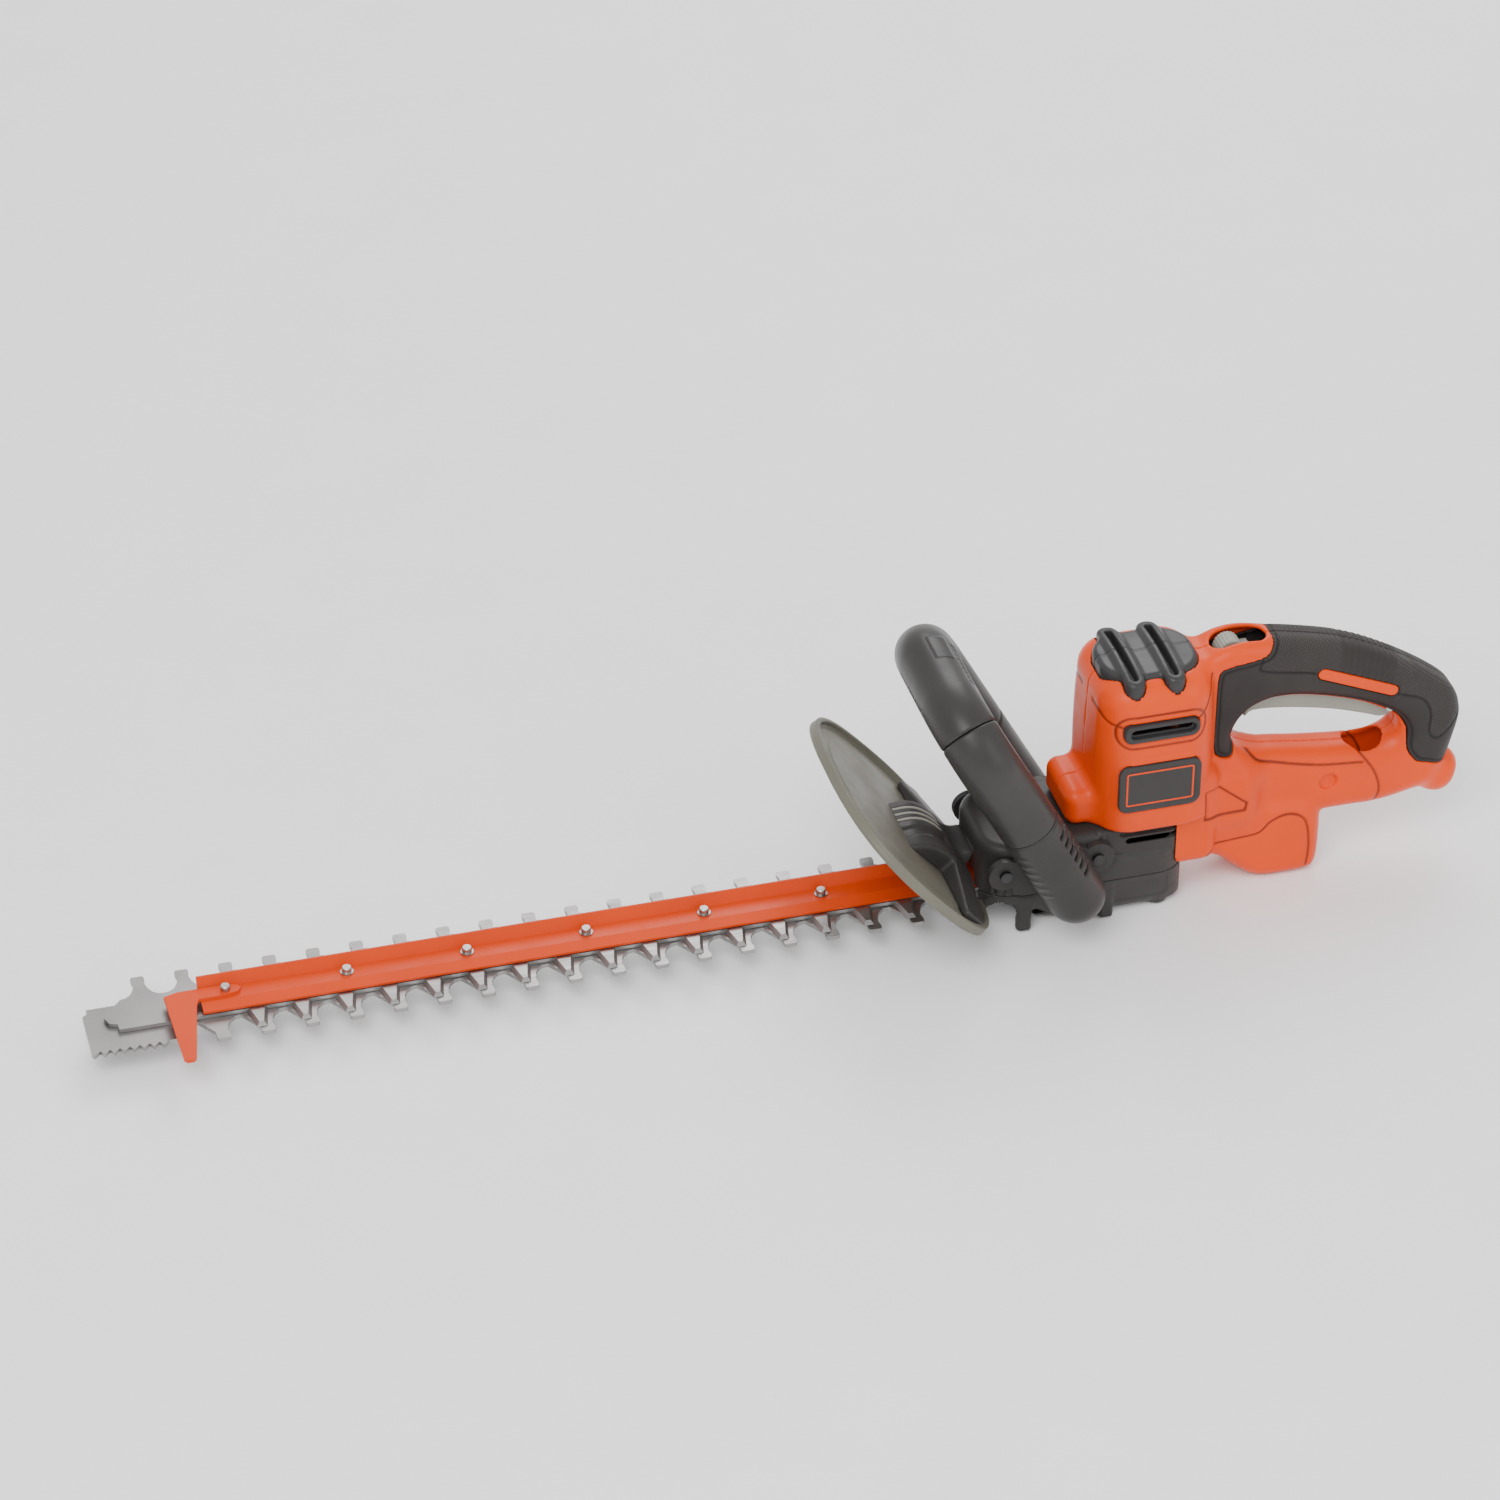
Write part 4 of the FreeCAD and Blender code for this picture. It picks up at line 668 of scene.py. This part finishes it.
def slider_field(x, y, z):
    """The lock-off slider: a ribbed round thumb piece on a flat runner."""
    dx, dz = x - 94.5, z - 156
    thumb = thick(np.hypot(dx, dz) - 7.6, y, 5.9, 1.2)
    ribs = 0.35 * (0.5 + 0.5 * np.cos(np.arctan2(dx, dz) * 22))
    thumb = thumb + ribs * (z > 158)
    runner = soft_block(x, y, z, (97, 0, 154.5), (10.4, 5.9, 1.9), 0.6)
    return np.maximum(join(thumb, runner, 0.8), 152.6 - z)


# ---------------------------------------------------------------- gearcase, guard and its mount

LEAN_GUARD = math.radians(41.3)
GUARD_CENTRE = (-103.4, 65.0)
SADDLE_HALF_WIDTH = 23.5
SADDLE = smooth_loop([(-106, 64), (-98, 67.5), (-88, 66.5), (-79, 60.5), (-72.5, 52), (-69, 43), (-70, 36),
                      (-76, 33.5), (-92, 38)])
STRIPE_PLACES = (15.0, 9.5, 4.0)
STRIPE_START = 47
BEHIND_SHEET = 2.6


def leaning(x, z, lean, origin):
    """Height up a leaning plane and distance in front of it towards the user."""
    dx, dz = x - origin[0], z - origin[1]
    up = -dx * math.sin(lean) + dz * math.cos(lean)
    out = dx * math.cos(lean) + dz * math.sin(lean)
    return up, out


def superoval(u, v, half_u, half_v, power=2.6):
    """About the distance to an oval that is squarer than an ellipse."""
    radius = (np.abs(u / half_u) ** power + np.abs(v / half_v) ** power) ** (1 / power)
    slope = np.hypot(np.abs(u) / half_u ** 2, np.abs(v) / half_v ** 2) / np.maximum(radius, 0.02)
    return (radius - 1) / np.maximum(slope, 1e-3) * np.clip(radius, 0.3, 1)


def guard_field(x, y, z):
    """The shield: a thin sheet, a raised rounded rim and a shallow step inside it."""
    up, out = leaning(x, z, LEAN_GUARD, GUARD_CENTRE)
    plan = superoval(y, up, 81.8, 65.0)
    sheet = thick(plan, out - 1.2, 1.2, 0.5)
    rim = np.hypot(np.maximum(np.abs(plan + 1.5) - 0.7, 0), np.maximum(np.abs(out - 2.9) - 2.3, 0)) - 0.75
    shape = join(sheet, rim, 1.2)
    step = superoval(y, up - 3, 66, 50)
    shape = join(shape, thick(step, out - 2.2, 0.9, 0.4), 0.8)
    mouth = soft_plan(y, up, (0, -62), (24, 36), 8)
    return carve(shape, mouth, 0.6)


def saddle_field(x, y, z):
    """The hooked block behind the shield, with shallow channels for the light stripes."""
    shape = thick(inside_loop(x, z, SADDLE), y, SADDLE_HALF_WIDTH, 2.6)
    for place in STRIPE_PLACES:
        shape = shape + 0.5 * np.exp(-((y - place) / 1.4) ** 2)
    groove = np.clip(0.5 - (y + 4.0) / 0.8, 0, 1) * np.clip(0.5 + (y + 12.0) / 0.8, 0, 1)
    return shape + 0.9 * groove * (z > 44)


def mount_field(x, y, z):
    """The saddle behind the shield, the beam under it and the neck to the gearcase."""
    up, out = leaning(x, z, LEAN_GUARD, GUARD_CENTRE)
    beam_out = 3.5 + 12.0 * np.clip(1.2 - np.abs(y) / 75, 0.35, 1)
    beam = np.hypot(np.maximum(np.abs(y) - 64, 0), np.maximum(np.abs(up + 35.5) - 4.4, 0)) - 4.0
    beam = overlap(beam, np.maximum(out - beam_out, BEHIND_SHEET - out), 2.0)
    neck = soft_block(x, y, z, (-72, 0, 42), (17, 17, 8), 4.5)
    shape = join(join(saddle_field(x, y, z), beam, 3), neck, 4)
    shape = np.maximum(shape, BEHIND_SHEET - out)
    blade_way = soft_plan(y, up, (0, -52), (24, 12), 5)
    shape = np.maximum(shape, -blade_way)
    return np.maximum(shape, -gearcase_space(x, y, z, 0.3))


def stripes_field(x, y, z):
    """Light lines inlaid across the saddle, from the shield over its shoulder."""
    out = leaning(x, z, LEAN_GUARD, GUARD_CENTRE)[1]
    skin = inside_loop(x, z, SADDLE)
    nearest = np.abs(y - STRIPE_PLACES[0])
    for place in STRIPE_PLACES[1:]:
        nearest = np.minimum(nearest, np.abs(y - place))
    band = np.maximum(skin - 0.3, -(skin + 1.4))
    return overlap(overlap(nearest - 0.9, band, 0.3), np.maximum(3.2 - out, STRIPE_START - z), 0.3)


FLANGE_LINE = [(9, 62), (11, 54), (19, 44), (34, 40), (66, 37)]


def gearcase_whole(x, y, z):
    """Both gearcase covers: the block, its sloping flank and underside, screw bosses, slots and lines."""
    s = np.abs(y)
    shape = gearcase_space(x, y, z)
    ledge = 2.2 * np.clip((z - 40) / 3.0, 0, 1) * np.clip((x - 8) / 6, 0, 1)
    shape = np.maximum(shape, s - CASE_HALF_WIDTH + ledge)
    flank_foot = 11 + 14 * np.clip((-10 - x) / 40, 0, 1)
    shape = overlap(shape, (s - CASE_HALF_WIDTH + 0.75 * (flank_foot - z)) * 0.8, 6)
    shape = overlap(shape, (0.22 * (-14 - x) - z) * 0.97, 3)
    for screw_x, screw_y in CASE_SCREW_PLACES:
        boss = np.maximum(np.hypot(x - screw_x, s - screw_y) - 4.6, z - 24)
        shape = join(shape, np.maximum(np.maximum(boss, 0.8 - z), s - CASE_HALF_WIDTH), 3)
    band = soft_plan(x, z, (24, 17), (29, 7.5), 3)
    shape = shape + 0.7 * np.clip(0.5 - band / 0.8, 0, 1) * (s > 30)
    for level, shift in ((57, 0), (51.5, 2)):
        slot = soft_plan(x, z, (43 + shift, level), (20 - shift, 1.5), 1.4)
        shape = shape + 2.4 * np.clip(0.5 - slot / 0.8, 0, 1) * (s > 24)
    for i in range(3):
        groove = np.maximum(np.abs(x + 52 - 5.0 * i) - 0.7, np.abs(z - 32) - 5)
        shape = shape + 0.8 * np.clip(0.5 - groove / 0.7, 0, 1) * (s > 24)
    flange = line_distance(x, z, FLANGE_LINE)
    return shape + 0.5 * np.exp(-(flange / 0.8) ** 2) * (s > 26)


def gearcase_field(upper):
    """One gearcase cover, hollow, split level with the blade slot."""
    def field(x, y, z):
        shape = gearcase_whole(x, y, z)
        room = soft_block(x, y, z, (3, 0, 31), (59, 29.5, 28), 12)
        shape = np.maximum(shape, -room)
        if upper:
            shape = np.maximum(shape, 27.1 - z)
            bar_way = np.maximum(np.maximum(np.abs(y) - 13.6, z - 35.5), x + 20)
            return np.maximum(shape, -bar_way)
        shape = np.maximum(shape, z - 26.9)
        blade_way = np.maximum(np.maximum(np.abs(y) - 18.6, np.abs(z - 21) - 7.0), x - 30)
        return np.maximum(shape, -blade_way)
    return field


# ---------------------------------------------------------------- bail handle

LEAN_BAIL = math.radians(28.8)
BAIL_FOOT = (-12.0, 40.0)
BAIL_SPAN = 52.0
BAIL_TOP = 138.0
BAIL_CORNER = 31.0
BAIL_RADIUS = 17.5
BAIL_WALL = 3.0
LEG_END = -3
FOOT_SEAM = 59.0
BEND_SEAM = 46.0
TAB_AROUND = 0.85


def bail_axis_distance(x, y, z):
    """Distance from the centre line of the leaning arch, the height up it and how far to its user side."""
    up, out = leaning(x, z, LEAN_BAIL, BAIL_FOOT)
    s = np.abs(y)
    leg_top = BAIL_TOP - BAIL_CORNER
    leg = np.hypot(s - BAIL_SPAN, np.maximum(LEG_END - up, 0))
    bend = np.hypot(s - (BAIL_SPAN - BAIL_CORNER), up - leg_top) - BAIL_CORNER
    cross = up - BAIL_TOP
    flat = np.where(up < leg_top, leg, np.where(s > BAIL_SPAN - BAIL_CORNER, bend, cross))
    return np.hypot(flat, out), up, out


def past_bend(y, up, degrees):
    """How far a point is past a cut through the bend's centre, turned up from level by an angle."""
    turn = math.radians(degrees)
    middle = BAIL_SPAN - BAIL_CORNER
    return (up - BAIL_TOP + BAIL_CORNER) * math.cos(turn) - (np.abs(y) - middle) * math.sin(turn)


def bail_ribs(y, up, out):
    """Depth of the finger ribs and of the raised tab on the cross grip."""
    around = np.arctan2(up - BAIL_TOP, out)
    wave = np.clip(np.cos(y * 2 * math.pi / 4.6) * 1.6 - 0.2, 0, 1) * (np.abs(y) < 22)
    user_side = np.clip((0.55 - np.abs(around + 0.15)) / 0.1, 0, 1)
    front_side = np.clip((0.5 - np.abs(np.abs(around) - math.pi)) / 0.1, 0, 1)
    tab = np.maximum(np.abs(y - 13) - 11, np.abs(around - TAB_AROUND) * BAIL_RADIUS - 5.5)
    return 0.7 * wave * (user_side + 0.6 * front_side) - 0.45 * np.clip(0.5 - tab / 0.8, 0, 1)


def foot_slots(y, up, out):
    """Depth of the six slots on the user side of a foot and of the finger ribs across from them."""
    around = np.arctan2(np.abs(y) - BAIL_SPAN, out)
    depth = 0
    rib = np.maximum(np.abs(np.abs(around) - 2.6) - 0.35, 0) * BAIL_RADIUS
    for i in range(6):
        level = up - 16.0 - 6.4 * i
        slot = np.maximum(np.abs(level) - 1.0, (np.abs(around - 0.42) - 0.42) * BAIL_RADIUS)
        depth = depth + 3.2 * np.clip(0.5 - slot / 0.8, 0, 1)
        depth = depth - 0.5 * np.exp(-(level / 1.3) ** 2) * np.clip(1 - rib / 2, 0, 1)
    return depth


def bail_field(part, side=0):
    """One length of the arch, between two seams, with a fine lip at each joint."""
    def field(x, y, z):
        distance, up, out = bail_axis_distance(x, y, z)
        tube = distance - BAIL_RADIUS
        beyond = past_bend(y, up, BEND_SEAM + 0.25)
        shape = tube + 0.6 * np.exp(-((up - FOOT_SEAM + 0.6) / 1.0) ** 2) * (np.abs(y) > 25)
        shape = shape + 0.6 * np.exp(-(beyond / 1.0) ** 2) * (up > 95)
        if part == "foot":
            shape = shape + foot_slots(y, up, out)
            shape = overlap(shape, up - FOOT_SEAM + 0.3, 0.5)
            shape = np.maximum(shape, 37.4 - np.abs(y))
        if part == "sleeve":
            shape = overlap(shape, np.maximum(FOOT_SEAM - up, past_bend(y, up, BEND_SEAM)), 0.5)
        if part == "top":
            shape = shape + bail_ribs(y, up, out)
            shape = overlap(shape, -past_bend(y, up, BEND_SEAM + 0.5), 0.5)
        shape = np.maximum(shape, -(tube + BAIL_WALL))
        if side:
            shape = np.maximum(shape, -side * y)
        return shape
    return field


# ---------------------------------------------------------------- building every piece

def mark_vertices(obj, name, values):
    """Stores one number per vertex for a material to read."""
    attribute = obj.data.attributes.new(name, "FLOAT", "POINT")
    attribute.data.foreach_set("value", np.asarray(values, np.float32))


def mirrored(source, name):
    """The same mesh on the other side of the middle plane."""
    mesh = source.data.copy()
    mesh.name = name
    count = len(mesh.vertices)
    places = np.empty(count * 3, np.float32)
    mesh.vertices.foreach_get("co", places)
    places[1::3] *= -1
    mesh.vertices.foreach_set("co", places)
    mesh.flip_normals()
    twin = bpy.data.objects.new(name, mesh)
    bpy.context.scene.collection.objects.link(twin)
    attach(twin, "chassis")
    return twin


def finish(obj, material, *nodes):
    """Gives a piece its material and lets it stand in for CAD nodes."""
    obj.data.materials.clear()
    obj.data.materials.append(material)
    if nodes:
        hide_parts(*nodes)


def verts_of(obj):
    """A piece's vertices in millimetres, as three columns."""
    places = np.empty(len(obj.data.vertices) * 3)
    obj.data.vertices.foreach_get("co", places)
    return (places.reshape(-1, 3) / MM).T


def pair(name, field, low, high, step, material):
    """A left piece and its mirrored right one, in place of the CAD pair."""
    left = field_piece(name + "_left_shell", field(-1), low, high, step)
    x, y, z = verts_of(left)
    if name == "housing":
        # The line mark places the painted shade in the housing's grooves.
        lines = side_grooves(x, z)
        mark_vertices(left, "line", np.exp(-(lines / 0.7) ** 2) * (np.abs(y) > 8))
    if name == "grip":
        top_zone = inside_loop(x, z, TEXTURED_ZONE)
        zone = inside_loop(x, z, GRIP_ZONE)
        along = along_grip(x, z)
        ribbed = (along > RIBBED_STRETCH[0]) & (along < RIBBED_STRETCH[1])
        mark_vertices(left, "grain", (top_zone < -1) & ~ribbed)
        # The line mark places the painted shade in the grooves at the bead and round the textured zone.
        edge = np.exp(-(top_zone / 0.7) ** 2) + np.exp(-((zone + BEAD_INSET) / 0.7) ** 2)
        mark_vertices(left, "line", np.clip(edge, 0, 1))
    right = mirrored(left, name + "_right_shell")
    finish(left, material, name + "_left")
    finish(right, material, name + "_right")


def build_shells():
    """The housing, the grips and everything let into them."""
    pair("housing", housing_field, (-10, -39.5, -1.5), (246, 0.5, 167), 0.8, ORANGE_GROOVE_SHADED)
    pair("grip", grip_field, (80, -18.5, 55), (243, 0.5, 170), 0.6, RUBBER)
    pair("grip_strip", strip_field, (140, -18, 108), (202, -2, 148), 0.5, ORANGE)
    pair("side_vent", vent_field, (18, -40.5, 124), (68, -33, 140), 0.4, CAP_GREY)
    pair("badge", badge_field, (16, -40, 76), (70, -35, 112), 0.4, PLATE)
    left = field_piece("badge_border_left", badge_border_field(-1), (16, -40, 76), (70, -37, 112), 0.3)
    finish(left, ORANGE)
    finish(mirrored(left, "badge_border_right"), ORANGE)
    cap = field_piece("vent_cap_shell", cap_field, (12, -35, 140), (77, 32, 168), 0.6)
    finish(cap, CAP_GREY, "top_vent_cap")


def build_controls():
    """The trigger and the lock-off slider."""
    lever = field_piece("trigger_lever", trigger_field, (102, -8, 91), (200, 8, 130), 0.5, "trigger")
    finish(lever, LIGHT_GREY, "trigger")
    slider = field_piece("slider_thumb", slider_field, (84, -7, 151), (109, 7, 165), 0.4, "lock_off")
    finish(slider, LIGHT_GREY, "lock_off_slider")


def build_front():
    """The gearcase covers, the shield, its mount and the bail."""
    for upper, word in ((True, "upper"), (False, "lower")):
        low_z, high_z = (26, 63) if upper else (-1, 28)
        low, high = (-62, -34.5, low_z), (68, 34.5, high_z)
        cover = field_piece("gearcase_%s_shell" % word, gearcase_field(upper), low, high, 0.8)
        finish(cover, CHARCOAL, "gearcase_%s_cover" % word)
    shield = field_piece("guard_shell", guard_field, (-154, -83.5, 10), (-50, 83.5, 118), 0.8)
    finish(shield, GUARD_GREY, "guard")
    mount = field_piece("guard_mount_shell", mount_field, (-112, -71, 20), (-55, 71, 80), 0.8)
    finish(mount, CHARCOAL, "guard_mount")
    stripes = field_piece("mount_stripes", stripes_field, (-106, 2, 45), (-66, 18, 70), 0.35)
    finish(stripes, LIGHT_GREY, "guard_mount_ridges")
    whole = field_piece("bail_top_shell", bail_field("top"), (-106, -60, 118), (-50, 60, 184), 0.7)
    finish(whole, SATIN, "bail_top")
    lengths = (("foot", (-62, -72, 12), (24, -30, 112)), ("sleeve", (-100, -72, 76), (-20, -24, 178)))
    for part, low, high in lengths:
        left = field_piece("bail_%s_left_shell" % part, bail_field(part, -1), low, high, 0.7)
        right = mirrored(left, "bail_%s_right_shell" % part)
        finish(left, SATIN, "bail_%s_left" % part)
        finish(right, SATIN, "bail_%s_right" % part)


build_shells()
build_controls()
build_front()


# ---------------------------------------------------------------- camera, light, floor

def add_camera():
    """A long lens above the tool's left side and a little ahead of it."""
    azimuth = math.radians(-15.365)
    elevation = math.radians(35.247)
    back = Vector((math.sin(azimuth) * math.cos(elevation), -math.cos(azimuth) * math.cos(elevation),
                   math.sin(elevation)))
    aim = Vector((-0.1468, 0.1591, 0.020))
    distance = 3.3142
    data = bpy.data.cameras.new("camera")
    data.lens = 132.0
    data.sensor_width = 36.0
    camera = bpy.data.objects.new("camera", data)
    camera.location = aim + back * distance
    camera.rotation_euler = back.to_track_quat("Z", "Y").to_euler()
    bpy.context.scene.collection.objects.link(camera)
    bpy.context.scene.camera = camera


def add_light(name, place, size, power, target=(0, 0, 0.05)):
    """One square soft light pointed at a place."""
    data = bpy.data.lights.new(name, "AREA")
    data.size = size
    data.energy = power
    light = bpy.data.objects.new(name, data)
    light.location = place
    light.rotation_euler = (Vector(place) - Vector(target)).to_track_quat("Z", "Y").to_euler()
    bpy.context.scene.collection.objects.link(light)


def add_studio():
    """A pale floor, a bright even surround and three soft lights."""
    world = bpy.data.worlds.new("studio")
    world.use_nodes = True
    world.node_tree.nodes["Background"].inputs["Color"].default_value = (1, 1, 1, 1)
    world.node_tree.nodes["Background"].inputs["Strength"].default_value = 0.95
    bpy.context.scene.world = world
    reach = 30.0
    mesh = bpy.data.meshes.new("floor")
    corners = [(-reach, -reach, 0), (reach, -reach, 0), (reach, reach, 0), (-reach, reach, 0)]
    mesh.from_pydata(corners, [], [(0, 1, 2, 3)])
    floor = bpy.data.objects.new("floor", mesh)
    bpy.context.scene.collection.objects.link(floor)
    below_the_part = 0.0004
    floor.location.z = CAD_BOX[0][2] - below_the_part
    card = moulded("floor_card", (0.93, 0.93, 0.93), (0.95, 0.95, 0.95), (0.7, 0.8), 300, 0.00002)
    floor.data.materials.append(card)
    add_light("key", (-1.1, -1.6, 2.4), 1.6, 66)
    add_light("fill", (1.6, -1.8, 1.3), 1.6, 16)
    add_light("rim", (0.6, 1.8, 1.9), 1.4, 34)


add_camera()
add_studio()
